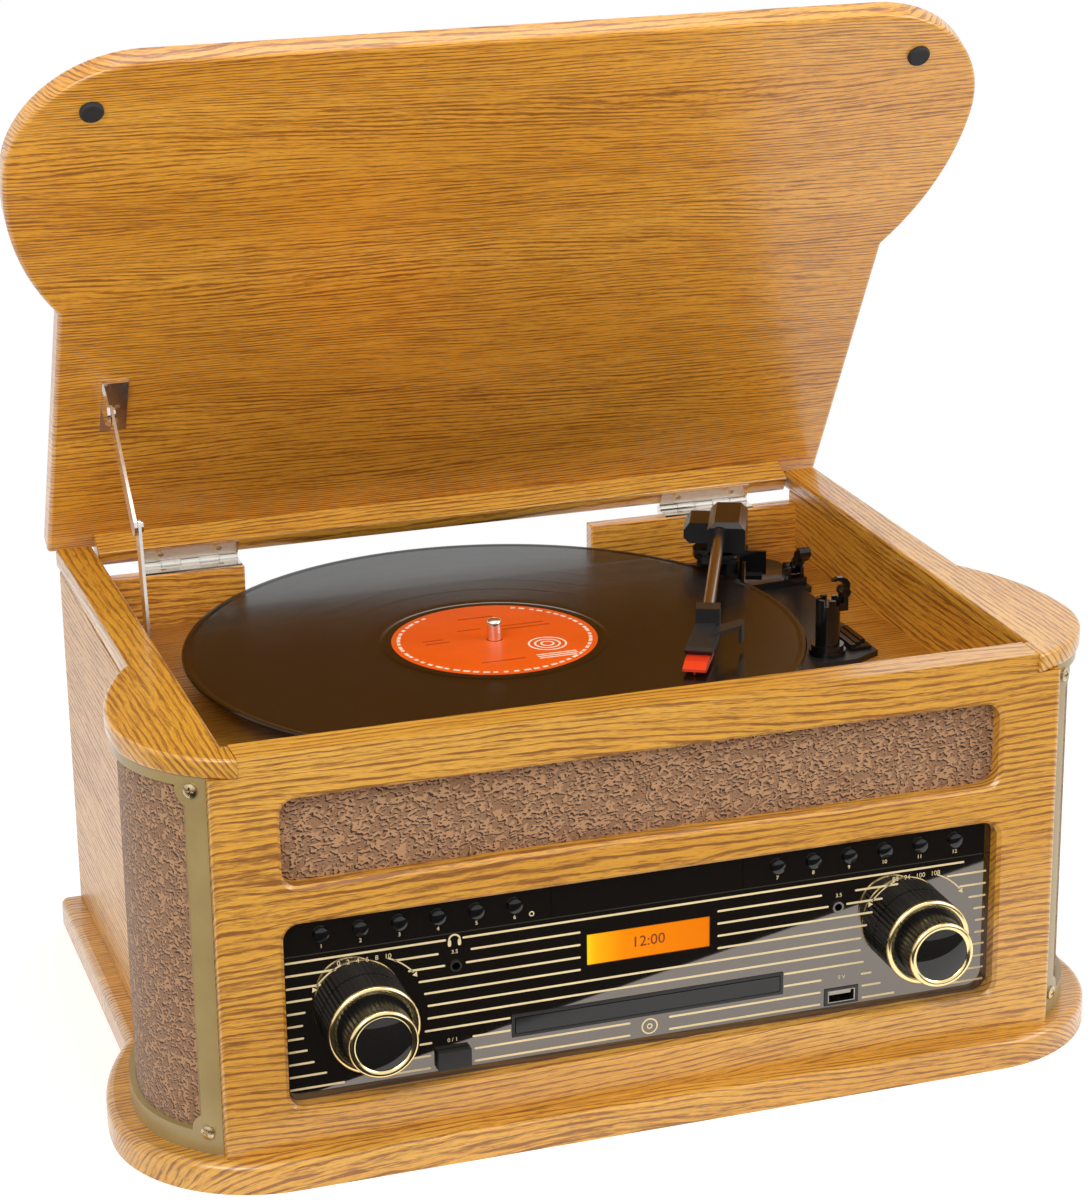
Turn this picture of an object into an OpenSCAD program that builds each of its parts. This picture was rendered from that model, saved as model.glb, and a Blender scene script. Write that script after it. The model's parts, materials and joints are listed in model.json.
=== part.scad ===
// Stereo music centre: a wooden table-top record player with radio, disc drive and two side speakers.
// Millimetres, +Z up. X runs to the right as seen from the front, +Y runs to the back.
// The origin is the centre of the underside of the base board.
// Distances called d below are measured backwards from the face of the front panel.

/* [Cabinet] */
// Height of the cabinet, from the floor to the top of the side caps
cabinet_h = 201; // [198:1:215]
// Distance from the front panel's face to the back panel's outer face
cabinet_d = 302; // [298:1:320]
// Half the width over the flat side walls
side_half_w = 207; // [204:1:212]
// Thickness of a side wall
side_t = 18; // [16:1:20]
// Thickness of the speaker baffle, the thin front part of a side wall
baffle_t = 9; // [7:1:11]
// Thickness of the front panel
front_t = 17; // [15:1:19]
// Thickness of the back panel
back_t = 9; // [7:1:11]
// Thickness of the base board
base_t = 14; // [12:1:17]
// How far the base board stands out in front of the front panel
base_lip = 11; // [8:1:13]
// How far the base board stands out beside a side wall
base_side_lip = 10; // [6:1:12]
// How far the bulge of the base board stands out beyond the bulge of a cap
base_bulge_lip = 9.5; // [7:0.5:12]

/* [Side caps and speaker bays] */
// Thickness of a side cap
cap_t = 9; // [8:1:11]
// How far the bulge of a cap stands out beyond its straight side
cap_bulge = 21.5; // [19:0.5:25]
// Distance d of the widest point of the bays
bulge_d = 58; // [55:1:61]
// How far the front of a cap stands out in front of the front panel
cap_lip = 5; // [4:0.5:7]
// Radius of the curve behind the widest point of a cap
cap_rear_r = 130; // [126:1:134]
// How far a cap stands out behind the back panel
cap_tail = 9; // [6:1:11]
// How far the grille frame is set in from the edge of the cap
frame_inset = 1.5; // [1:0.25:2.5]
// Thickness of the grille frame
frame_t = 3; // [2.5:0.5:4]
// Width of the frame's lower band
frame_foot_band = 10; // [8:1:12]
// Width of the frame's upper band
frame_head_band = 5; // [4:1:7]
// Width of the frame's two upright stiles
frame_stile = 8; // [7:0.5:10]
// Radius of the round lobes that carry the frame's screws
frame_lobe_r = 8; // [7:0.5:9]
// Thickness of the grille cloth with its backing
cloth_t = 1.5; // [1:0.25:2]
// Radius of a speaker's cutout in the baffle
speaker_r = 32; // [28:1:36]

/* [Front] */
// How far the front end of a cap reaches inwards over the side wall's inner face
cap_inner_lip = 3.5; // [2:0.5:5]
// Half the width of the cloth window
grille_half_w = 168; // [160:1:170]
// Height of the lower edge of the cloth window
grille_z = 138.6; // [137:0.2:142]
// Height of the cloth window
grille_h = 40.5; // [34:0.5:42]
// Half the width of the fascia window
fascia_half_w = 168.7; // [166:0.1:171]
// Height of the lower edge of the fascia window
fascia_z = 33.5; // [31:0.5:35]
// Height of the fascia window
fascia_h = 87.5; // [86:0.5:89]
// Corner radius of both windows
window_r = 7.5; // [5:0.5:9]
// Width of the bevel around both windows
window_bevel = 1.7; // [1:0.1:2.5]
// Depth of the fascia and the cloth behind the face of the front panel
window_recess = 8; // [6:0.5:10]

/* [Controls] */
// Distance of each knob from the middle
knob_x = 131.5; // [126:0.5:134]
// Height of the knobs
knob_z = 69.3; // [65:0.1:73]
// Radius of the wide tier of a knob
knob_r = 20.5; // [17:0.5:22]
// Radius of the narrow tier of a knob
knob_tip_r = 15.6; // [12:0.2:16.5]
// Length of each tier of a knob
knob_tier = 14.5; // [12:0.5:17]
// Height of the push buttons
button_z = 111.7; // [110:0.1:113]
// Distance between neighbouring push buttons
button_pitch = 17.6; // [15:0.1:18]
// Distance of the innermost push button of each group from the middle
button_inner_x = 62.5; // [58:0.5:64]
// Radius of a push button
button_r = 3.3; // [2.8:0.1:4]
// How far a push button stands out of the fascia
button_out = 2.4; // [2:0.1:3.5]

/* [Turntable] */
// Height of the top of the deck board
deck_z = 160; // [157:1:162]
// Thickness of the deck board
deck_t = 9; // [7:1:11]
// Distance of the spindle from the middle, to the left
spindle_x = -19.5; // [-24:0.5:-16]
// Distance d of the spindle
spindle_d = 170; // [168:1:172]
// Radius of the spindle
spindle_r = 3.55; // [3.5:0.01:3.6]
// Radius of the platter
platter_r = 100; // [95:1:104]
// Radius of the record
record_r = 150.8; // [149:0.1:151]
// Distance of the tonearm's upright pivot from the middle
arm_pivot_x = 127; // [125:0.5:129]
// Distance of the tonearm's upright pivot from the inner face of the back panel
arm_pivot_back = 48; // [46:1:50]
// Length from the tonearm's pivot to the stylus
arm_length = 172.5; // [170:0.5:174]
// Turn of the tonearm in the photographed playing position
arm_turn = -23.9; // [-30:0.1:-20]
// Height of the middle of the arm tube
arm_z = 195; // [193:0.5:196]
// Radius of the arm tube
arm_r = 3; // [2.5:0.1:3.4]

/* [Lid] */
// Thickness of the lid board
lid_t = 12; // [10:1:15]
// Opening of the lid from closed, in degrees
lid_open = 60; // [0:1:60]
// Half the width of the lid at its straight sides
lid_half_w = 210; // [207:1:214]
// How far the bulge of the lid stands out beyond its straight side
lid_bulge = 28; // [25:0.5:31]
// How far the closed lid stands out in front of the front panel
lid_lip = 7; // [5:0.5:9]
// Distance d of the back edge of the closed lid
lid_rear_d = 304; // [302:1:307]
// Distance d of the widest point of the closed lid
lid_bulge_d = 56; // [53:1:59]
// Height of the gap that the buffers keep under the closed lid
lid_gap = 2.5; // [2:0.25:4]
// Height of the rail under the lid's back edge
rail_h = 14; // [12:0.5:14.5]
// Length of each butt hinge
hinge_len = 50; // [40:1:60]
// Distance of each hinge's middle from the cabinet's middle
hinge_x = 140; // [138:1:146]
// Radius of a hinge barrel
hinge_r = 2.6; // [2.4:0.1:2.9]
// Width of the links of the lid stay
stay_w = 9; // [7:0.5:10]

/* [Hidden] */
$fn = 72;

// Small allowances shared by the fits
running = 0.05;      // radial clearance of a shaft in its bore
gap = 0.3;           // air between pieces that move past each other
past = 1;            // how far a cutting shape runs past the face it cuts

// Cabinet
base_depth = base_lip + cabinet_d;
front_y = base_lip - base_depth / 2;
side_inner = side_half_w - side_t;
base_half_w = side_half_w + base_side_lip;
cap_reach = side_half_w + cap_bulge;
base_reach = cap_reach + base_bulge_lip;
front_half_w = side_inner + baffle_t;
cap_inner_front = side_inner - cap_inner_lip;
bay_cx = cap_reach - cap_rear_r;
cap_z = cabinet_h - cap_t;
cap_inner = side_inner - 0.5;
cap_rear_d = cabinet_d + cap_tail;
back_inner_d = cabinet_d - back_t;
back_top_z = cabinet_h - 14;
frame_front_r = bulge_d + cap_lip - frame_inset;
frame_front_cx = cap_reach - bulge_d - cap_lip;
frame_rear_r = cap_rear_r - frame_inset;
frame_end_x = side_half_w - 4;
grille_top_z = grille_z + grille_h;
fascia_top_z = fascia_z + fascia_h;
fascia_t = 3;
rebate = 5;
speaker_d = 70;
speaker_z = 100;
notch_left = -114;
notch_right = 73;
notch_z = deck_z + 6;
vent_len = 34;
vent_pitch = 9;
vent_z = 100;
vent_x = 60;
deck_hole_r = 11;
screw_front = frame_front_cx + 38.2;
screw_z = [base_t + 10.5, cap_z - 6.5];
screw_r = 1.6;

// Back sockets
rear_jack_x = [96, 112];
rear_jack_z = 50;
rear_jack_r = 4.1;
rear_jack_out = 8;
inlet_x = -120;
inlet_z = 42;
inlet_w = 25.6;
inlet_h = 15.6;
inlet_deep = 12;

// Controls
lcd_x = [-28.9, 29.9];
lcd_z = [77, 92];
slot_x = [-63.2, 64.3];
slot_z = [49, 57];
usb_x = [86.4, 103.5];
usb_z = [37.5, 46.2];
power_x = [-100.2, -84.4];
power_z = [38.1, 47.2];
phones_x = -90.1;
line_in_x = 92.5;
jack_z = 87;
jack_r = 1.8;
jack_out_r = 2.8;
strip_z = fascia_top_z - 18.5;
strip_split_x = 45.6;
groove = 0.5;
fascia_d = window_recess;
fascia_back_d = fascia_d + fascia_t;
control_len = 14;
board_d = fascia_back_d + control_len;
board_t = 1.6;
board_half_w = 160;
main_board_z = base_t + 6;
shaft_r = 3;
push_travel = 0.9;

// Disc drive
tray_len = 134;
tray_mid = (slot_x[0] + slot_x[1]) / 2;
tray_w = slot_x[1] - slot_x[0] - 2 * gap;
drive_wall = 3;
drive_len = 150;
disc_r = 60.5;

// Turntable
plate_t = 3;
plate_z = deck_z + plate_t;
record_t = 2;
mat_z = deck_z + 14.7;
record_z = mat_z + record_t;
platter_z = plate_z + 3;
hub_r = 68;
pulley_r = 5;
motor_r = 17;
pulley_dist = hub_r + motor_r;
pulley_turn = 135;
belt_t = 1;
bush_r = 4;
spindle_top = record_z + 10.5;
label_r = 50;
plate_left = spindle_x - platter_r - 6;
plate_front = spindle_d - platter_r - 4;

// Tonearm, in a frame with its origin on the upright pivot and the head towards -Y
arm_pivot_d = back_inner_d - arm_pivot_back;
drum_r = 12.5;
yoke_z = arm_z - 15;
yoke_r = 14.5;
yoke_t = 4;
tongue_half = 4;
pin_r = 1.5;
house_left = -6.2;
house_right = 13.3;
house_front = -15;
house_back = 23;
house_low = arm_z - 9;
house_top = arm_z + 6.5;
house_edge = 3.5;
lobe_left = house_left - 13;
head_back = arm_length - 42;
head_len = 46;
head_offset = 6;
shell_z = record_z + 14;
shell_drop = 4.5;
shell_w = 13;
rest_x = arm_pivot_x + 11.7;
rest_d = arm_pivot_d - 113.7;
rest_r = 6;
rest_base_r = 9;
crown_z = arm_z - arm_r - 0.7;
clip_x = rest_x + 8;
clip_z = arm_z - 1;
cue_x = arm_pivot_x + 38;
cue_d = arm_pivot_d - 6.6;
cue_z = plate_z + 7;
switch_x = rest_x + 17.2;
switch_d = rest_d + 13;
switch_w = 11;
switch_len = 30;
plate_right = cue_x + 6;

// Lid, drawn closed and then turned open about the hinge axis
lid_z = cabinet_h + lid_gap;
lid_reach = lid_half_w + lid_bulge;
leaf_t = 1.1;
hinge_d = cabinet_d + hinge_r + 0.6;
hinge_z = back_top_z + leaf_t + 0.15;
rail_z = lid_z - rail_h;
rail_half_w = cap_inner - 1.5;
buffer_x = 199.5;
buffer_d = 18;
stay_pivot = [cabinet_d - 106, lid_z - 11.5];
stay_knuckle = [cabinet_d - 94, cabinet_h + 40];
stay_low = [cabinet_d - 104.6, cabinet_h - 22.8];
stay_t = 1.5;
stay_pin_r = 2;
stay_x = -side_inner + 3.3;
pivot_open = lid_point(stay_pivot);

// ---------- shared shapes ----------

// Everything is drawn behind the front panel's face and then moved to the origin
module at_front() {
    translate([0, front_y, 0]) children();
}

// Both halves of a piece that is the same on the left and on the right
module both_sides() {
    children();
    mirror([1, 0, 0]) children();
}

// The right-hand piece, or its mirror image on the left
module on_side(side) {
    mirror([side < 0 ? 1 : 0, 0, 0]) children();
}

// Outline of a board with a straight front, round front corners, a long curve behind each bulge
// and straight sides
module board_plan(half_w, reach, front, rear, bulge, rear_r) {
    front_r = bulge - front;
    translate([reach - front_r, bulge]) intersection() {
        circle(front_r, $fn = 128);
        translate([0, -front_r - past]) square(front_r + past);
    }
    translate([reach - rear_r, bulge]) intersection() {
        circle(rear_r, $fn = 160);
        square(rear_r + past);
    }
    translate([-past, front]) square([reach - front_r + past, bulge - front]);
    translate([-past, bulge]) square([half_w + past, rear - bulge]);
}

// Right half of such a board
module bulged_half(half_w, reach, front, rear, bulge, rear_r, t) {
    linear_extrude(t) board_plan(half_w, reach, front, rear, bulge, rear_r);
}

// Flat outline of the right-hand bay at the radius of the grille frame, drawn in by inset
module bay_outline(inset) {
    front_r = frame_front_r - inset;
    rear_r = frame_rear_r - inset;
    translate([frame_front_cx, bulge_d]) {
        intersection() {
            circle(front_r, $fn = 128);
            translate([0, -front_r - past]) square([front_r + past, front_r + past]);
        }
    }
    translate([bay_cx, bulge_d]) {
        intersection() {
            circle(rear_r, $fn = 160);
            square([rear_r + past, rear_r + past]);
        }
    }
}

// Curved wall that follows the bay between two insets
module bay_wall(inset, t) {
    difference() {
        bay_outline(inset);
        bay_outline(inset + t);
    }
}

// Rectangle with round corners, given by its corners
module round_rect(x0, y0, x1, y1, r) {
    translate([x0 + r, y0]) square([x1 - x0 - 2 * r, y1 - y0]);
    translate([x0, y0 + r]) square([x1 - x0, y1 - y0 - 2 * r]);
    for (x = [x0 + r, x1 - r]) {
        for (y = [y0 + r, y1 - r]) translate([x, y]) circle(r, $fn = 48);
    }
}

// Stands an outline drawn in X and Z upright, from distance d0 back to d1
module upright(d0, d1) {
    translate([0, d1, 0]) rotate([90, 0, 0]) linear_extrude(d1 - d0) children();
}

// Round bar along the d direction
module bar_d(x, z, r, d0, d1) {
    translate([x, d0, z]) rotate([-90, 0, 0]) cylinder(r = r, h = d1 - d0);
}

// Round bar across the cabinet
module bar_x(d, z, r, x0, x1) {
    translate([x0, d, z]) rotate([0, 90, 0]) cylinder(r = r, h = x1 - x0);
}

// Block given by two opposite corners
module block(a, b) {
    translate(a) cube(b - a);
}

// Toothed outline of a knurled grip
module knurl(r, teeth, depth) {
    steps = 2 * teeth;
    polygon([for (i = [0 : steps - 1])
        let (rr = i % 2 == 0 ? r : r - depth, a = 360 * i / steps)
        [rr * cos(a), rr * sin(a)]]);
}

// Flat link with round ends between two points in the d-Z plane
module link(a, b, w, x0, t) {
    len = norm(b - a);
    turn = atan2(b[1] - a[1], b[0] - a[0]);
    translate([x0, a[0], a[1]])
        rotate([turn, 0, 0])
            rotate([90, 0, 90])
                linear_extrude(t) {
                    circle(w / 2);
                    translate([0, -w / 2]) square([len, w]);
                    translate([len, 0]) circle(w / 2);
                }
}

// Turns what is drawn on the closed lid to the lid's photographed opening
module on_lid() {
    translate([0, hinge_d, hinge_z])
        rotate([-lid_open, 0, 0])
            translate([0, -hinge_d, -hinge_z]) children();
}

// Place of a point of the closed lid once the lid is open, in the d-Z plane
function lid_point(p) =
    let (a = p[0] - hinge_d, b = p[1] - hinge_z)
    [hinge_d + a * cos(lid_open) + b * sin(lid_open), hinge_z - a * sin(lid_open) + b * cos(lid_open)];

// Puts the tonearm's own frame on its pivot
module on_arm() {
    translate([arm_pivot_x, arm_pivot_d, 0]) rotate([0, 0, arm_turn]) children();
}

// ---------- cabinet ----------

module base_plinth() {
    color("goldenrod") at_front() both_sides()
        bulged_half(base_half_w, base_reach, -base_lip, cabinet_d, bulge_d,
            cap_rear_r + base_bulge_lip, base_t);
}

module side_panel(side) {
    color("goldenrod") at_front() on_side(side) difference() {
        translate([0, 0, base_t]) linear_extrude(cap_z - base_t) difference() {
            translate([side_inner, front_t]) square([side_t, cabinet_d - front_t]);
            // the bay in front of the wall, and the seat of the grille frame's back edge
            intersection() {
                translate([side_inner + baffle_t, front_t - past]) square([side_t, cabinet_d - 2 * front_t]);
                union() {
                    translate([bay_cx, bulge_d]) circle(frame_rear_r + 0.2, $fn = 160);
                    translate([0, front_t - past]) square([2 * side_half_w, bulge_d - front_t + past]);
                }
            }
        }
        bar_x(speaker_d, speaker_z, speaker_r, side_inner - past, side_half_w + past);
    }
}

module left_side_panel() {
    side_panel(-1);
}

module right_side_panel() {
    side_panel(1);
}

module top_cap(side) {
    color("goldenrod") at_front() on_side(side) difference() {
        translate([0, 0, cap_z])
            bulged_half(side_half_w, cap_reach, -cap_lip, cap_rear_d, bulge_d,
                cap_rear_r, cap_t);
        block([-past, -cap_lip - past, cap_z - past], [cap_inner_front, cap_rear_d + past, cabinet_h + past]);
        block([0, front_t, cap_z - past], [cap_inner, cap_rear_d + past, cabinet_h + past]);
    }
}

module left_top_cap() {
    top_cap(-1);
}

module right_top_cap() {
    top_cap(1);
}

module front_panel() {
    corner = 3;
    color("goldenrod") at_front() difference() {
        intersection() {
            // outline seen from above, with rounded outer corners
            translate([0, 0, base_t]) linear_extrude(cabinet_h - base_t) {
                translate([-front_half_w + corner, 0])
                    square([2 * (front_half_w - corner), front_t]);
                translate([-front_half_w, corner])
                    square([2 * front_half_w, front_t - corner]);
                for (s = [-1, 1]) translate([s * (front_half_w - corner), corner]) circle(corner, $fn = 32);
            }
            // outline seen from the front, lower where the caps lie on it
            upright(-past, front_t + past) {
                translate([-front_half_w - past, base_t])
                    square([2 * (front_half_w + past), cap_z - base_t]);
                translate([-cap_inner_front, base_t])
                    square([2 * cap_inner_front, cabinet_h - base_t]);
            }
        }
        // windows with their bevels, and the rebates that hold the cloth and the fascia
        for (w = [[grille_half_w, grille_z, grille_top_z], [fascia_half_w, fascia_z, fascia_top_z]]) {
            upright(-past, front_t + past) round_rect(-w[0], w[1], w[0], w[2], window_r);
            upright(window_recess, front_t + past)
                round_rect(-w[0] - rebate, w[1] - rebate, w[0] + rebate, w[2] + rebate, window_r);
            hull() {
                for (x = [-w[0] + window_r, w[0] - window_r]) {
                    for (z = [w[1] + window_r, w[2] - window_r]) {
                        translate([x, window_bevel, z]) rotate([90, 0, 0])
                            cylinder(r1 = window_r, r2 = window_r + window_bevel + 0.2,
                                h = window_bevel + 0.2, $fn = 32);
                    }
                }
            }
        }
    }
}

module back_panel() {
    color("sienna") at_front() difference() {
        upright(back_inner_d, cabinet_d) difference() {
            translate([-side_inner, base_t]) square([2 * side_inner, back_top_z - base_t]);
            // dip that lets a large record stand out over the back
            translate([notch_left, notch_z]) square([notch_right - notch_left, cabinet_h]);
            for (row = [0 : 4]) {
                for (x = [-vent_x, vent_x]) {
                    translate([x - vent_len / 2, vent_z + vent_pitch * row]) square([vent_len, vent_pitch / 3]);
                }
            }
            // holes of the line-out sockets and of the mains inlet
            for (x = rear_jack_x) translate([x, rear_jack_z]) circle(rear_jack_r + 0.9);
            translate([inlet_x - inlet_w / 2 - 0.2, inlet_z - inlet_h / 2 - 0.2])
                square([inlet_w + 0.4, inlet_h + 0.4]);
        }
    }
}

module deck_board() {
    color("goldenrod") at_front() difference() {
        block([-side_inner, front_t, deck_z - deck_t], [side_inner, back_inner_d, deck_z]);
        translate([spindle_x, spindle_d, 0]) cylinder(r = deck_hole_r, h = cabinet_h);
        motor_place() cylinder(r = motor_r + 2, h = cabinet_h);
        translate([arm_pivot_x, arm_pivot_d, 0]) cylinder(r = deck_hole_r, h = cabinet_h);
    }
}

// ---------- grilles ----------

// Direction of the frame's outer face at its front stile, and the screw's place on it
function stile_turn() = asin((screw_front - frame_front_cx) / frame_front_r);

module at_screw(z) {
    translate([frame_front_cx, bulge_d, z]) rotate([0, 0, stile_turn() - 90]) children();
}

module grille_frame(side) {
    window_end = bulge_d + 57;
    color("darkkhaki") at_front() on_side(side) {
        difference() {
            intersection() {
                translate([0, 0, base_t]) linear_extrude(cap_z - base_t) difference() {
                    bay_wall(0, frame_t);
                    translate([0, -cap_lip - past]) square([front_half_w + 0.1, bulge_d + cap_lip + past]);
                    translate([0, bulge_d]) square([frame_end_x, cap_rear_r + past]);
                }
                union() {
                    // bands and stiles
                    block([0, -cap_lip - past, base_t], [cap_reach, 3 * bulge_d, base_t + frame_foot_band]);
                    block([0, -cap_lip - past, cap_z - frame_head_band], [cap_reach, 3 * bulge_d, cap_z]);
                    block([0, -cap_lip - past, base_t], [front_half_w + frame_stile, 20, cap_z]);
                    block([0, window_end, base_t], [cap_reach, 3 * bulge_d, cap_z]);
                    // round lobes under the screws
                    for (z = screw_z) at_screw(z) rotate([0, 90, 0]) cylinder(r = frame_lobe_r, h = frame_front_r + past);
                }
            }
            for (z = screw_z) at_screw(z) rotate([0, 90, 0]) cylinder(r = screw_r, h = frame_front_r + past);
        }
    }
}

module left_grille_frame() {
    grille_frame(-1);
}

module right_grille_frame() {
    grille_frame(1);
}

module grille_cloth(side) {
    inset = frame_t + 0.1;
    color("rosybrown") at_front() on_side(side)
        difference() {
            translate([0, 0, base_t + gap]) linear_extrude(cap_z - base_t - 2 * gap) difference() {
                bay_wall(inset, cloth_t);
                translate([0, -cap_lip - past]) square([front_half_w + 0.2, bulge_d + cap_lip + past]);
                translate([0, bulge_d]) square([frame_end_x, cap_rear_r + past]);
            }
            for (z = screw_z) at_screw(z) rotate([0, 90, 0]) cylinder(r = screw_r, h = frame_front_r + past);
        }
}

module left_grille_cloth() {
    grille_cloth(-1);
}

module right_grille_cloth() {
    grille_cloth(1);
}

module front_grille_cloth() {
    color("rosybrown") at_front() upright(window_recess, window_recess + cloth_t)
        round_rect(-grille_half_w - rebate + gap, grille_z - rebate + gap,
            grille_half_w + rebate - gap, grille_top_z + rebate - gap, window_r);
}

module frame_screws() {
    color("silver") at_front() both_sides()
        for (z = screw_z) at_screw(z) translate([frame_front_r, 0, 0]) rotate([0, 90, 0]) {
            // pan head with a cross recess, and a shank that stays inside the frame
            difference() {
                intersection() {
                    cylinder(r = 3.2, h = 2);
                    translate([0, 0, -5.2]) sphere(7, $fn = 48);
                }
                for (a = [0, 90]) rotate([0, 0, a]) translate([-2, -0.4, 0.9]) cube([4, 0.8, 2]);
            }
            translate([0, 0, -frame_t - cloth_t]) cylinder(r = 1.5, h = frame_t + cloth_t);
        }
}

module speakers() {
    baffle_x = side_inner + baffle_t;
    color("dimgray") at_front() both_sides() translate([0, speaker_d, speaker_z]) rotate([0, 90, 0]) {
        difference() {
            union() {
                translate([0, 0, baffle_x]) cylinder(r = speaker_r + 4, h = 2.5);
                translate([0, 0, baffle_x - 18]) cylinder(r = speaker_r - 0.5, h = 18);
                translate([0, 0, baffle_x - 32]) cylinder(r = 0.55 * speaker_r, h = 15);
            }
            // cone
            translate([0, 0, baffle_x - 12]) cylinder(r1 = 9, r2 = speaker_r - 4, h = 12 + 2.5 + 0.01);
        }
        translate([0, 0, baffle_x - 13]) cylinder(r = 8, h = 5);
    }
}

// ---------- fascia ----------

function button_x(i) = i < 6 ? -button_inner_x - (5 - i) * button_pitch : button_inner_x + (i - 6) * button_pitch;

module fascia_panel() {
    color([0.06, 0.06, 0.07]) at_front() difference() {
        upright(fascia_d, fascia_back_d) difference() {
            round_rect(-fascia_half_w - rebate + gap, fascia_z - rebate + gap,
                fascia_half_w + rebate - gap, fascia_top_z + rebate - gap, window_r);
            for (i = [0 : 11]) translate([button_x(i), button_z]) circle(button_r + 0.2, $fn = 32);
            for (s = [-1, 1]) translate([s * knob_x, knob_z]) circle(shaft_r + running);
            translate([lcd_x[0], lcd_z[0]]) square([lcd_x[1] - lcd_x[0], lcd_z[1] - lcd_z[0]]);
            translate([slot_x[0], slot_z[0]]) square([slot_x[1] - slot_x[0], slot_z[1] - slot_z[0]]);
            translate([usb_x[0], usb_z[0]]) square([usb_x[1] - usb_x[0], usb_z[1] - usb_z[0]]);
            translate([power_x[0], power_z[0]]) square([power_x[1] - power_x[0], power_z[1] - power_z[0]]);
            for (x = [phones_x, line_in_x]) translate([x, jack_z]) circle(jack_out_r, $fn = 32);
        }
        // grooves that set off the button strip and split it in three
        block([-fascia_half_w - rebate, fascia_d - past, strip_z], [fascia_half_w + rebate, fascia_d + groove, strip_z + groove]);
        for (s = [-1, 1]) translate([s * strip_split_x, 0, 0])
            block([-groove / 2, fascia_d - past, strip_z], [groove / 2, fascia_d + groove, fascia_top_z + rebate]);
    }
}

module display_window() {
    color("orange") at_front() block([lcd_x[0] + 0.1, fascia_d + 0.4, lcd_z[0] + 0.1],
        [lcd_x[1] - 0.1, fascia_back_d + 2, lcd_z[1] - 0.1]);
}

module jack_socket(x) {
    difference() {
        union() {
            bar_d(x, jack_z, jack_out_r - 0.05, fascia_d - 0.8, fascia_back_d);
            block([x - 5, fascia_back_d, jack_z - 5], [x + 5, fascia_back_d + 14, jack_z + 5]);
        }
        bar_d(x, jack_z, jack_r, fascia_d - past - 1, fascia_back_d + 12);
    }
}

module sockets() {
    usb_mid = (usb_z[0] + usb_z[1]) / 2;
    color("dimgray") at_front() {
        for (x = [phones_x, line_in_x]) jack_socket(x);
        // host socket: a metal shell with a tongue in its upper half
        difference() {
            block([usb_x[0] + 0.1, fascia_d - 0.4, usb_z[0] + 0.1], [usb_x[1] - 0.1, fascia_back_d + 14, usb_z[1] - 0.1]);
            block([usb_x[0] + 2.3, fascia_d - past, usb_mid - 2.6], [usb_x[1] - 2.3, fascia_back_d + 11, usb_mid + 2.6]);
        }
        block([usb_x[0] + 3.2, fascia_d + 1.2, usb_mid + 0.2], [usb_x[1] - 3.2, fascia_back_d + 12, usb_mid + 2]);
        // line-out pair on the back
        for (x = rear_jack_x) difference() {
            union() {
                bar_d(x, rear_jack_z, rear_jack_r, back_inner_d, cabinet_d + rear_jack_out);
                bar_d(x, rear_jack_z, rear_jack_r + 2.9, back_inner_d - 6, back_inner_d);
            }
            bar_d(x, rear_jack_z, 1.6, cabinet_d - 4, cabinet_d + rear_jack_out + past);
        }
        // two-pole mains inlet in the back panel
        difference() {
            block([inlet_x - inlet_w / 2, back_inner_d - inlet_deep, inlet_z - inlet_h / 2],
                [inlet_x + inlet_w / 2, cabinet_d, inlet_z + inlet_h / 2]);
            upright(cabinet_d - inlet_deep, cabinet_d + past)
                round_rect(inlet_x - 9, inlet_z - 4.4, inlet_x + 9, inlet_z + 4.4, 4);
        }
        for (s = [-1, 1]) bar_d(inlet_x + s * 4.3, inlet_z, 1.15, cabinet_d - inlet_deep - 1, cabinet_d - 3);
    }
}

module circuit_boards() {
    main_back = back_inner_d - 13;
    color("darkgreen") at_front() {
        // control board behind the fascia, with the two rotary controls
        difference() {
            block([-board_half_w, board_d, slot_z[1] + drive_wall + 4],
                [board_half_w, board_d + board_t, button_z + 6]);
            for (s = [-1, 1]) bar_d(s * knob_x, knob_z, shaft_r + gap, board_d - past, board_d + board_t + past);
        }
        for (s = [-1, 1]) difference() {
            bar_d(s * knob_x, knob_z, 8, fascia_back_d, board_d);
            bar_d(s * knob_x, knob_z, shaft_r + running, fascia_back_d - past, board_d + past);
        }
        for (i = [0 : 11]) bar_d(button_x(i), button_z, 3, board_d - control_len / 2, board_d);
        // main board on the base, with its heat sink, capacitors and transformer
        block([-70, main_back - 90, main_board_z], [130, main_back, main_board_z + board_t]);
        for (x = [-60, 120]) {
            for (d = [main_back - 82, main_back - 8]) translate([x, d, base_t]) cylinder(r = 3, h = main_board_z - base_t);
        }
        block([20, main_back - 80, main_board_z + board_t], [70, main_back - 74, main_board_z + 31]);
        for (i = [0 : 3]) translate([30 + 18 * i, main_back - 40, main_board_z + board_t]) cylinder(r = 6, h = 24);
        block([-board_half_w, main_back - 80, base_t], [20 - board_half_w + 40, main_back - 34, base_t + 42]);
    }
}

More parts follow.
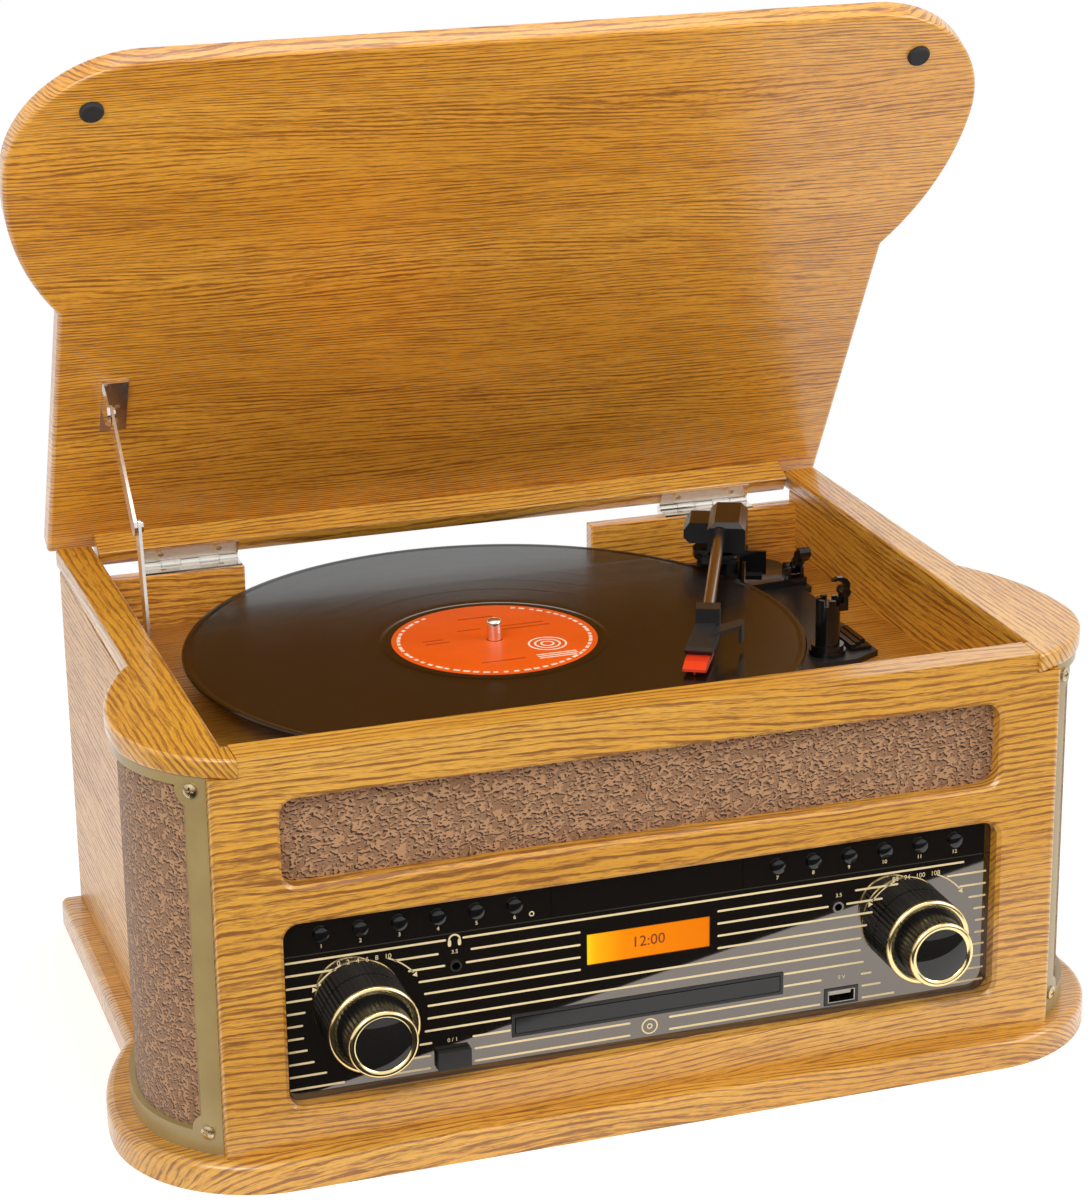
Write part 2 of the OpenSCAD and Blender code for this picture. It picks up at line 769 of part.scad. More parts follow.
module knob(side) {
    back_d = fascia_d - gap;
    step_d = back_d - knob_tier;
    tip_d = step_d - knob_tier;
    ring = 3;
    color([0.08, 0.08, 0.08]) at_front() translate([side * knob_x, 0, knob_z]) {
        // wide tier with its ring face, narrow tier with its ring face, and the domed cap
        translate([0, back_d, 0]) rotate([90, 0, 0]) linear_extrude(knob_tier - 1.5) knurl(knob_r, 56, 0.5);
        translate([0, step_d + 1.5, 0]) rotate([90, 0, 0]) cylinder(r1 = knob_r - 0.5, r2 = knob_r - 1, h = 1.5);
        translate([0, step_d + 0.01, 0]) rotate([90, 0, 0]) linear_extrude(knob_tier - 1.5) knurl(knob_tip_r, 44, 0.5);
        translate([0, tip_d + 1.5, 0]) rotate([90, 0, 0]) cylinder(r1 = knob_tip_r - 0.4, r2 = knob_tip_r - 0.8, h = 1.5);
        intersection() {
            translate([0, tip_d + 40 - 2, 0]) sphere(40, $fn = 96);
            translate([0, tip_d + 1, 0]) rotate([90, 0, 0]) cylinder(r = knob_tip_r - ring, h = 4);
        }
        // shaft through the fascia into the control's bushing
        rotate([-90, 0, 0]) translate([0, 0, back_d - 1]) cylinder(r = shaft_r, h = fascia_t + gap + 11);
    }
}

module volume_knob() {
    knob(-1);
}

module tuning_knob() {
    knob(1);
}

module push_button(i) {
    color([0.1, 0.1, 0.1]) at_front() translate([button_x(i), 0, button_z]) {
        intersection() {
            rotate([-90, 0, 0]) translate([0, 0, fascia_d - button_out]) cylinder(r = button_r, h = button_out + fascia_t + 2);
            translate([0, fascia_d - button_out + 8, 0]) sphere(8, $fn = 48);
        }
        rotate([-90, 0, 0]) translate([0, 0, fascia_back_d + push_travel + 0.2 - 0.8]) cylinder(r = button_r + 1.2, h = 1.6);
    }
}

module source_button() {
    push_button(0);
}

module program_button() {
    push_button(1);
}

module repeat_button() {
    push_button(2);
}

module random_button() {
    push_button(3);
}

module record_button() {
    push_button(4);
}

module standby_button() {
    push_button(5);
}

module open_button() {
    push_button(6);
}

module stop_button() {
    push_button(7);
}

module previous_button() {
    push_button(8);
}

module play_button() {
    push_button(9);
}

module next_button() {
    push_button(10);
}

module mode_button() {
    push_button(11);
}

module power_button() {
    play = 0.2;
    color([0.1, 0.1, 0.1]) at_front() {
        block([power_x[0] + play, fascia_d - 3.5, power_z[0] + play], [power_x[1] - play, fascia_back_d + 6, power_z[1] - play]);
        block([power_x[0] - 1.5, fascia_back_d + 2.2, power_z[0] - 1.5], [power_x[1] + 1.5, fascia_back_d + 4, power_z[1] + 1.5]);
    }
}

// ---------- disc drive ----------

module cd_drive() {
    color("dimgray") at_front() difference() {
        block([slot_x[0] - drive_wall, fascia_back_d, slot_z[0] - drive_wall],
            [slot_x[1] + drive_wall, fascia_back_d + drive_len, slot_z[1] + drive_wall + 3]);
        block([slot_x[0], fascia_back_d - past, slot_z[0]], [slot_x[1], fascia_back_d + drive_len - drive_wall, slot_z[1] + 1]);
    }
    // legs that carry the drive on the base board
    color("dimgray") at_front() for (x = [slot_x[0] + 4, slot_x[1] - 4]) {
        for (d = [fascia_back_d + 12, fascia_back_d + drive_len - 12])
            translate([x, d, base_t]) cylinder(r = 4, h = slot_z[0] - drive_wall - base_t);
    }
}

module cd_tray() {
    tray_floor = slot_z[0] + gap;
    color([0.1, 0.1, 0.1]) at_front() difference() {
        union() {
            block([tray_mid - tray_w / 2, fascia_d - 0.5, tray_floor], [tray_mid + tray_w / 2, fascia_d + 2, slot_z[1] - gap]);
            block([tray_mid - tray_w / 2, fascia_d + 1.9, tray_floor], [tray_mid + tray_w / 2, fascia_d + tray_len, tray_floor + 4]);
        }
        // recess for the disc, its spindle window and the frame line of the front
        translate([tray_mid, fascia_d + 2 + disc_r + 3, tray_floor + 2.4]) cylinder(r = disc_r, h = 10, $fn = 128);
        block([tray_mid - 18, fascia_d + disc_r - 12, 0], [tray_mid + 18, fascia_d + tray_len - 12, cabinet_h]);
    }
}

// ---------- turntable ----------

module at_spindle() {
    translate([spindle_x, spindle_d, 0]) children();
}

// The motor's shaft, and the frame in which the belt runs along +X to it
module belt_frame() {
    at_spindle() rotate([0, 0, pulley_turn]) children();
}

module motor_place() {
    belt_frame() translate([pulley_dist, 0, 0]) children();
}

module turntable_plate() {
    back = arm_pivot_d + 41;
    color([0.1, 0.1, 0.1]) at_front() difference() {
        union() {
            // wide under the tonearm, cut back beside the record, with a bed for the arm rest and the switch
            translate([0, 0, deck_z]) linear_extrude(plate_t) polygon([
                [plate_left, plate_front],
                [rest_x - 35, plate_front],
                [rest_x - rest_base_r - 3, rest_d - rest_base_r - 4],
                [rest_x + rest_base_r + 1, rest_d - rest_base_r - 4],
                [switch_x + switch_w / 2 + 2, switch_d - switch_len / 2 - 3],
                [switch_x + switch_w / 2 + 2, switch_d + switch_len / 2 + 11],
                [cue_x - 10, switch_d + switch_len / 2 + 13],
                [cue_x + 1, cue_d - 34],
                [cue_x + 1, cue_d - 13],
                [plate_right, cue_d - 11],
                [plate_right, back - 14],
                [plate_right - 10, back],
                [plate_left, back]
            ]);
            at_spindle() translate([0, 0, deck_z - 12]) cylinder(r = deck_hole_r - 2, h = 12);
        }
        at_spindle() cylinder(r = bush_r + running, h = cabinet_h);
        motor_place() cylinder(r = pulley_r + 2, h = cabinet_h);
        translate([arm_pivot_x, arm_pivot_d, 0]) cylinder(r = 6, h = cabinet_h);
    }
}

module platter() {
    skirt = 3;
    top_t = 3;
    color("gray") at_front() at_spindle() {
        rotate_extrude($fn = 128) {
            // skirt, top, belt hub and mat
            difference() {
                polygon([[platter_r - skirt, platter_z], [platter_r, platter_z], [platter_r, mat_z - 1.5],
                    [platter_r - 1.5, mat_z], [spindle_r - 0.5, mat_z], [spindle_r - 0.5, mat_z - top_t - 1],
                    [platter_r - skirt, mat_z - top_t - 1]]);
                for (r = [60 : 8 : platter_r - 8]) translate([r, mat_z - 0.5]) square([3, 1]);
            }
            translate([hub_r - 3, platter_z]) square([3, mat_z - platter_z - top_t]);
            translate([0, platter_z + 1]) square([12, mat_z - platter_z - top_t]);
        }
        // spindle above, journal below
        translate([0, 0, mat_z - top_t]) cylinder(r = spindle_r - 0.15, h = record_z - mat_z + top_t + gap);
        translate([0, 0, record_z + gap]) cylinder(r = spindle_r, h = spindle_top - 2 - record_z - gap);
        translate([0, 0, spindle_top - 2]) cylinder(r1 = spindle_r, r2 = spindle_r - 1.6, h = 2);
        translate([0, 0, deck_z - 11]) cylinder(r = bush_r, h = mat_z - top_t - deck_z + 11);
        translate([0, 0, plate_z + gap]) cylinder(r = 9, h = 2);
    }
}

module vinyl_record() {
    bead = 2;
    color([0.07, 0.06, 0.06]) at_front() at_spindle() rotate_extrude($fn = 160)
        polygon([[spindle_r + 0.08, mat_z], [record_r - 0.6, mat_z], [record_r, mat_z + 0.6], [record_r, record_z - 0.6],
            [record_r - 0.6, record_z], [record_r - bead, record_z], [record_r - bead - 2, record_z - 0.3],
            [label_r + 6, record_z - 0.3], [label_r + 4, record_z], [spindle_r + 0.08, record_z]]);
}

module platter_motor() {
    color("silver") at_front() motor_place() difference() {
        translate([0, 0, deck_z - 24]) cylinder(r = motor_r, h = 24 - 0.01);
        translate([0, 0, deck_z - 20]) cylinder(r = 1 + running, h = 30);
    }
}

module motor_pulley() {
    color("goldenrod") at_front() motor_place() {
        translate([0, 0, deck_z - 18]) cylinder(r = 1, h = platter_z - deck_z + 19);
        translate([0, 0, platter_z]) cylinder(r = pulley_r + 0.8, h = 0.8);
        translate([0, 0, platter_z + 0.7]) cylinder(r = pulley_r, h = 3.6);
    }
}

// Loop of belt around the hub and the pulley, at a given offset from both
module belt_loop(offset_r) {
    a = acos((hub_r - pulley_r) / pulley_dist);
    hub = hub_r + offset_r;
    tip = pulley_r + offset_r;
    circle(hub, $fn = 128);
    translate([pulley_dist, 0]) circle(tip, $fn = 48);
    polygon([[hub * cos(a), hub * sin(a)], [pulley_dist + tip * cos(a), tip * sin(a)],
        [pulley_dist + tip * cos(a), -tip * sin(a)], [hub * cos(a), -hub * sin(a)]]);
}

module drive_belt() {
    slack = 0.1;
    color([0.12, 0.12, 0.12]) at_front() belt_frame() translate([0, 0, platter_z + 1.1]) linear_extrude(3)
        difference() {
            belt_loop(slack + belt_t);
            belt_loop(slack);
        }
}

// ---------- tonearm ----------

module tonearm_base() {
    ear_t = 2;
    wing = cue_x - arm_pivot_x + 5;
    color([0.1, 0.1, 0.1]) at_front() {
        translate([arm_pivot_x, arm_pivot_d, 0]) difference() {
            union() {
                translate([0, 0, plate_z]) cylinder(r = drum_r + 5, h = 3);
                translate([0, 0, plate_z]) cylinder(r = drum_r, h = yoke_z - gap - plate_z);
                // wing that carries the lift lever's bracket
                translate([0, 0, plate_z]) linear_extrude(4)
                    polygon([[0, -drum_r - 5], [wing, cue_d - arm_pivot_d - 7], [wing, cue_d - arm_pivot_d + 11],
                        [0, drum_r + 5]]);
            }
            cylinder(r = 4 + running, h = cabinet_h);
        }
        // ears of the lift lever
        for (x = [cue_x - 4.5, cue_x + 2.5]) difference() {
            union() {
                block([x, cue_d - 4, plate_z + 3.9], [x + ear_t, cue_d + 4, cue_z]);
                bar_x(cue_d, cue_z, 4, x, x + ear_t);
            }
            bar_x(cue_d, cue_z, pin_r + running, x - past, x + ear_t + past);
        }
    }
}

module tonearm_yoke() {
    vane_z = plate_z + 10;
    color([0.1, 0.1, 0.1]) at_front() on_arm() {
        translate([0, 0, plate_z - 10]) cylinder(r = 4, h = yoke_z - plate_z + 10);
        translate([0, 0, yoke_z]) cylinder(r = yoke_r, h = yoke_t);
        // tongue that the housing straddles, bored for the cross pin
        difference() {
            union() {
                block([-tongue_half, -6, yoke_z + yoke_t - 0.1], [tongue_half, 6, arm_z - 1]);
                bar_x(0, arm_z, 3.6, -tongue_half, tongue_half);
                block([-tongue_half, -3.6, arm_z - 3], [tongue_half, 3.6, arm_z]);
            }
            bar_x(0, arm_z, pin_r + running, -20, 20);
        }
        // vane on the outer side, with its foot, and the low ledge in front
        block([6, -yoke_r + 4.5, yoke_z], [24, -yoke_r + 6.5, yoke_z + yoke_t + 1.5]);
        block([yoke_r - 1, -yoke_r + 4.5, vane_z], [24, -yoke_r + 6.5, yoke_z + 0.1]);
        block([yoke_r - 1, -yoke_r + 1.5, vane_z - 2], [22, -yoke_r + 6.5, vane_z + 0.1]);
        block([-9, -yoke_r - 3, yoke_z + 0.5], [9, -yoke_r + 3, yoke_z + 3]);
    }
}

module tonearm_tube() {
    slot = tongue_half + gap;
    color("dimgray") at_front() on_arm() {
        // tube towards the head, with its collar
        bar_d(0, arm_z, arm_r, -head_back - 2, house_front + 1);
        bar_d(0, arm_z, arm_r + 2, house_front - 3, house_front + 0.1);
        // cross pin
        bar_x(0, arm_z, pin_r, house_left + 0.5, house_right - 0.5);
        // housing with cut-off edges over the pivot, and the weight's lobe beside it
        difference() {
            union() {
                upright(house_front, house_back) polygon([[house_left, house_low], [house_left, house_top - house_edge],
                    [house_left + house_edge, house_top], [house_right - house_edge, house_top],
                    [house_right, house_top - house_edge], [house_right, house_low]]);
                upright(0, house_back - 1) polygon([[lobe_left, house_low + 3], [lobe_left, house_top - house_edge - 5],
                    [lobe_left + 3, house_top - house_edge - 1], [house_left + 0.1, house_top - house_edge - 1],
                    [house_left + 0.1, house_low], [lobe_left + 3, house_low]]);
            }
            block([-slot, -9, house_low - past], [slot, 9, arm_z + 4.6]);
            // rounded-off look of the front: a sloping cut over the top edge
            translate([0, house_front, house_top]) rotate([45, 0, 0])
                cube([4 * yoke_r, house_edge, house_edge], center = true);
        }
    }
}

// Frame of the head, turned in by its offset angle about the end of the tube
module on_head() {
    on_arm() translate([0, -head_back, 0]) rotate([0, 0, -head_offset]) children();
}

module headshell() {
    half = shell_w / 2;
    nose_z = shell_z - shell_drop;
    color([0.1, 0.1, 0.1]) at_front() {
        difference() {
            // socket block around the end of the tube
            on_arm() block([-5.8, -head_back - 8, shell_z - 4], [5.8, -head_back + 1.5, arm_z + arm_r]);
            on_arm() bar_d(0, arm_z, arm_r, -head_back - 2, -head_back + 7);
        }
        // shell that slopes down to its nose, with cut-off upper edges
        on_head() intersection() {
            rotate([90, 0, 90]) translate([0, 0, -half]) linear_extrude(shell_w)
                polygon([[-4, shell_z], [-4, shell_z - 6], [-12, nose_z - 3.6], [-head_len + 16, nose_z - 3.6],
                    [-head_len + 14, nose_z - 1], [-head_len + 16.5, nose_z], [-8, shell_z]]);
            upright(-head_len, 0) polygon([[-half, nose_z - 9], [-half, nose_z - 0.6], [-half + 1.8, shell_z + 1],
                [half - 1.8, shell_z + 1], [half, nose_z - 0.6], [half, nose_z - 9]]);
        }
        // cartridge body under the shell
        on_head() block([-half + 1.2, -head_len + 16, nose_z - 6], [half - 1.2, -13, nose_z - 3.5]);
        // finger lift on the outer side, turned down at its end
        on_head() translate([0, 0, shell_z - 2.4]) linear_extrude(1.6)
            polygon([[half - 1.5, -20], [half - 1.5, -9], [half + 8, 3], [half + 10.5, 3], [half + 10.5, -6]]);
        on_head() block([half + 9, -6, shell_z - 10], [half + 10.5, 3, shell_z - 2.3]);
    }
}

module cartridge() {
    tip_z = record_z + gap;
    half = shell_w / 2 - 1;
    nose_z = shell_z - shell_drop;
    seat_z = nose_z - 6.05;
    color("red") at_front() on_head() {
        // stylus holder: a wedge in front of the shell, with its root under the cartridge body
        rotate([90, 0, 90]) translate([0, 0, -half]) linear_extrude(2 * half)
            polygon([[-17, seat_z], [-head_len + 15.9, seat_z], [-head_len + 15.9, nose_z - 3.65],
                [-head_len + 9, nose_z - 4.2], [-head_len + 2.5, tip_z + 3], [-head_len + 2.5, tip_z + 1.8],
                [-head_len + 5, tip_z + 1.3], [-head_len + 11, tip_z + 1.2], [-20, seat_z - 1.2]]);
        translate([0, -head_len + 4, tip_z]) cylinder(r1 = 0.4, r2 = 1, h = 1.6);
    }
}

module arm_rest() {
    wall_t = 2.4;
    color([0.1, 0.1, 0.1]) at_front() difference() {
        union() {
            translate([rest_x, rest_d, plate_z]) {
                cylinder(r = rest_base_r, h = 2.5);
                cylinder(r = rest_base_r - 1, h = 5);
                cylinder(r = rest_r, h = crown_z - plate_z);
            }
            // arm that carries the clip's pivot
            block([rest_x + 2, rest_d - 3.6, clip_z - 9], [clip_x + wall_t / 2, rest_d + 3.6, clip_z - 5]);
            block([clip_x - wall_t / 2, rest_d - 3.6, clip_z - 9], [clip_x + wall_t / 2, rest_d + 3.6, clip_z]);
            bar_d(clip_x, clip_z, wall_t, rest_d - 3.6, rest_d + 3.6);
        }
        // teeth of the crown
        for (a = [0, 60, 120]) translate([rest_x, rest_d, crown_z - 3]) rotate([0, 0, a])
            translate([-rest_r - past, -1.1, 0]) cube([2 * rest_r + 1.6 * past, 2.2, 6]);
        translate([rest_x, rest_d, crown_z - 3]) cylinder(r = rest_r - 2.2, h = 6);
        // slot and bore for the clip
        block([clip_x - 5, rest_d - 1.7, clip_z - 3.4], [clip_x + 6, rest_d + 1.7, clip_z + 5]);
        bar_d(clip_x, clip_z, 1 + running, rest_d - 6, rest_d + 6);
    }
}

module arm_rest_clip() {
    color([0.1, 0.1, 0.1]) at_front() translate([clip_x, rest_d, clip_z]) {
        // claw that curves over the resting tube
        upright(-1.4, 1.4) {
            circle(2.1, $fn = 32);
            polygon([[-1.6, 0.8], [1.9, -0.6], [2.9, 1.6], [2.9, 4], [1.6, 6.2], [-0.8, 7.4], [-3.4, 7.5], [-6, 6.6],
                [-6.3, 5.6], [-3.6, 5.9], [-1.4, 5.2], [-0.2, 3.6]]);
        }
        bar_d(0, 0, 1, -3.4, 3.4);
    }
}

module cue_lever() {
    color([0.1, 0.1, 0.1]) at_front() {
        difference() {
            link([cue_d, cue_z], [cue_d - 13, cue_z + 12], 5, cue_x - 2, 4);
            link([cue_d - 4, cue_z + 4], [cue_d - 9, cue_z + 8.5], 2, cue_x + 1.2, 2);
        }
        bar_x(cue_d, cue_z, pin_r, cue_x - 5, cue_x + 5);
        translate([cue_x - 3, 0, 0]) link([cue_d - 11, cue_z + 10.2], [cue_d - 14, cue_z + 13], 5.6, 0, 6);
    }
}

module speed_switch() {
    half = switch_w / 2;
    step = switch_w / 3;
    color([0.1, 0.1, 0.1]) at_front() {
        block([switch_x - half, switch_d - switch_len / 2, plate_z + gap],
            [switch_x + half, switch_d + switch_len / 2, plate_z + 1.6]);
        // three ribs of different lengths
        for (i = [0 : 2]) block([switch_x - half + step * i + 0.5, switch_d - switch_len / 2 + 1 + 3 * i, plate_z + 1.5],
            [switch_x - half + step * (i + 1) - 0.5, switch_d + switch_len / 2 - 1, plate_z + 2.8]);
    }
}

// ---------- lid ----------

module lid_board() {
    color("goldenrod") at_front() on_lid() both_sides() translate([0, 0, lid_z])
        bulged_half(lid_half_w, lid_reach, -lid_lip, lid_rear_d, lid_bulge_d,
            cap_rear_r + base_bulge_lip, lid_t);
}

module lid_rail() {
    color("goldenrod") at_front() on_lid()
        block([-rail_half_w, back_inner_d, rail_z], [rail_half_w, cabinet_d, lid_z]);
}

module lid_buffers() {
    color([0.1, 0.1, 0.1]) at_front() on_lid() both_sides()
        translate([buffer_x, buffer_d, cabinet_h + 0.2]) {
            cylinder(r1 = 4.7, r2 = 5.5, h = 1);
            translate([0, 0, 0.99]) cylinder(r = 5.5, h = lid_gap - 1.19);
        }
}

// Leaf of a butt hinge: a plate with two screw holes from the barrel's line forwards
module leaf(z) {
    wide = hinge_d - back_inner_d - 1;
    difference() {
        block([-hinge_len / 2, hinge_d - wide, z], [hinge_len / 2, hinge_d - hinge_r + 0.6, z + leaf_t]);
        for (x = [-15, 15]) translate([x, back_inner_d + 4.5, z - past]) cylinder(r = 1.5, h = 4);
    }
}

// Barrel knuckles number first, first + 2 and so on of five
module knuckles(first, bore_r) {
    seg = hinge_len / 5;
    for (i = [first : 2 : 4]) difference() {
        union() {
            bar_x(hinge_d, hinge_z, hinge_r, -hinge_len / 2 + i * seg + 0.15, -hinge_len / 2 + (i + 1) * seg - 0.15);
        }
        if (bore_r > 0) bar_x(hinge_d, hinge_z, bore_r, -hinge_len, hinge_len);
    }
}

// Cuts from a leaf the places where the other leaf's knuckles turn
module knuckle_cuts(first) {
    seg = hinge_len / 5;
    for (i = [first : 2 : 4])
        bar_x(hinge_d, hinge_z, hinge_r + gap, -hinge_len / 2 + i * seg - 0.15, -hinge_len / 2 + (i + 1) * seg + 0.15);
}

module cabinet_hinge_leaves() {
    color("silver") at_front() for (s = [-1, 1]) translate([s * hinge_x, 0, 0]) {
        difference() {
            leaf(back_top_z);
            knuckle_cuts(1);
        }
        knuckles(0, 0);
        bar_x(hinge_d, hinge_z, 1.2, -hinge_len / 2, hinge_len / 2);
    }
}

module lid_hinge_leaves() {
    color("silver") at_front() on_lid() for (s = [-1, 1]) translate([s * hinge_x, 0, 0]) {
        difference() {
            leaf(rail_z - leaf_t);
            knuckle_cuts(0);
        }
        knuckles(1, 1.2 + running);
    }
}

// ---------- lid stay ----------

module stay_bracket() {
    plate_x = stay_x - 1.8;
    color("silver") at_front() on_lid() {
        difference() {
            block([plate_x, stay_pivot[0] - 10, lid_z - 1.5], [plate_x + 13, stay_pivot[0] + 22, lid_z]);
            for (d = [6, 16]) translate([plate_x + 8, stay_pivot[0] + d, lid_z - 3]) cylinder(r = 1.6, h = 4);
        }
        block([plate_x, stay_pivot[0] - 6, stay_pivot[1]], [plate_x + 1.5, stay_pivot[0] + 6, lid_z - 1.4]);
        bar_x(stay_pivot[0], stay_pivot[1], 6, plate_x, plate_x + 1.5);
        bar_x(stay_pivot[0], stay_pivot[1], stay_pin_r, plate_x, stay_x + stay_t + 1.2);
        bar_x(stay_pivot[0], stay_pivot[1], stay_pin_r + 1.2, stay_x + stay_t + 0.2, stay_x + stay_t + 1.2);
    }
}

module stay_upper_arm() {
    color("silver") at_front() difference() {
        union() {
            link(pivot_open, stay_knuckle, stay_w, stay_x, stay_t);
            bar_x(stay_knuckle[0], stay_knuckle[1], stay_pin_r, stay_x, stay_x + 2 * stay_t + 1.6);
            bar_x(stay_knuckle[0], stay_knuckle[1], stay_pin_r + 1.2, stay_x + 2 * stay_t + 0.6, stay_x + 2 * stay_t + 1.6);
        }
        bar_x(pivot_open[0], pivot_open[1], stay_pin_r + running, stay_x - past, stay_x + stay_t + past);
    }
}

module stay_lower_arm() {
    lower_x = stay_x + stay_t + gap;
    color("silver") at_front() difference() {
        union() {
            link(stay_knuckle, stay_low, stay_w, lower_x, stay_t);
            bar_x(stay_low[0], stay_low[1], stay_pin_r + 1.2, lower_x, lower_x + stay_t + 1);
        }
        bar_x(stay_knuckle[0], stay_knuckle[1], stay_pin_r + running, lower_x - past, lower_x + stay_t + 0.3);
    }
}

module stay_foot() {
    color("silver") at_front() {
        block([-side_inner, stay_low[0] - 12, stay_low[1] - 9], [-side_inner + 1.5, stay_low[0] + 12, stay_low[1] + 9]);
        bar_x(stay_low[0], stay_low[1], 3.4, -side_inner, stay_x + stay_t);
    }
}

// ---------- assembly ----------

base_plinth();
left_side_panel();
right_side_panel();
back_panel();
front_panel();
left_top_cap();
right_top_cap();
deck_board();
left_grille_frame();
right_grille_frame();
left_grille_cloth();
right_grille_cloth();
front_grille_cloth();
frame_screws();
fascia_panel();
display_window();
sockets();
circuit_boards();
volume_knob();
tuning_knob();
source_button();
program_button();
repeat_button();
random_button();
record_button();
standby_button();
open_button();
stop_button();
previous_button();
play_button();
next_button();
mode_button();
power_button();
cd_drive();
cd_tray();
turntable_plate();
platter();
vinyl_record();
platter_motor();
motor_pulley();
drive_belt();
tonearm_base();
tonearm_yoke();
tonearm_tube();
headshell();
cartridge();
arm_rest();
arm_rest_clip();
cue_lever();
speed_switch();
lid_board();
lid_rail();
lid_buffers();
lid_hinge_leaves();
cabinet_hinge_leaves();
stay_bracket();
stay_upper_arm();
stay_lower_arm();
stay_foot();
speakers();
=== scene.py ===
"""Looks of a table-top stereo music centre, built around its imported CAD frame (metres, +Z up)."""
import json
import math
import random

import bmesh
import bpy
from mathutils import Matrix, Vector

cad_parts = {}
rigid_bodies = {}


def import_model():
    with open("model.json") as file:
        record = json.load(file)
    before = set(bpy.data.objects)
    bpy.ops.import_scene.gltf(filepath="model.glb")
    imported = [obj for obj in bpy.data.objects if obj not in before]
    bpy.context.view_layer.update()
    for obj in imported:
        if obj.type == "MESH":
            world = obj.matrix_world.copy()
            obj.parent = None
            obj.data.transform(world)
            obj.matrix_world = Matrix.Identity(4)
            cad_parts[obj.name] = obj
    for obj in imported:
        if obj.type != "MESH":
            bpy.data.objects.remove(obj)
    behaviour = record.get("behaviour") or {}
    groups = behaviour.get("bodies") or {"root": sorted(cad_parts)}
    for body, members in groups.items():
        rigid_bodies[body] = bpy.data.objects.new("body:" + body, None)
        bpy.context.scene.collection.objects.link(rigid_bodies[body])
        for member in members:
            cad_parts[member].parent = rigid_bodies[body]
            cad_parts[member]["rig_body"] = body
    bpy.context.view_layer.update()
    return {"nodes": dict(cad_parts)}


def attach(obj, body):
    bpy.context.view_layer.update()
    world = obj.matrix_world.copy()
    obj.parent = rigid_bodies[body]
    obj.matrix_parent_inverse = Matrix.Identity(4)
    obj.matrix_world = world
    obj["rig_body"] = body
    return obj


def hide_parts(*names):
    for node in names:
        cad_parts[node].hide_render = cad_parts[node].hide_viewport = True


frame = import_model()
NODES = frame["nodes"]
MM = 0.001
Y0 = -145.5                          # the front panel's face, in mm behind the frame's origin
FACE = 8.0                           # the fascia's own plane, mm behind the front
KNOB_X, KNOB_Z = 131.5, 69.3         # both knobs' axes, left and right of the middle
RECORD_X, RECORD_D = -19.5, 170.0    # the spindle
LABEL_Z = 176.7                      # top of the record
ARM_X, ARM_D = 127.0, 245.0          # the tonearm's pivot
ARM_RUN = (-0.4051, -0.9143)         # the resting tonearm's direction in x and d
LID_TILT = math.radians(60)          # the photographed lid, from closed
rng = random.Random(7)


def P(x, d, z):
    """A point from mm: x to the right, d behind the front panel's face, z above the table."""
    return Vector((x * MM, (d + Y0) * MM, z * MM))


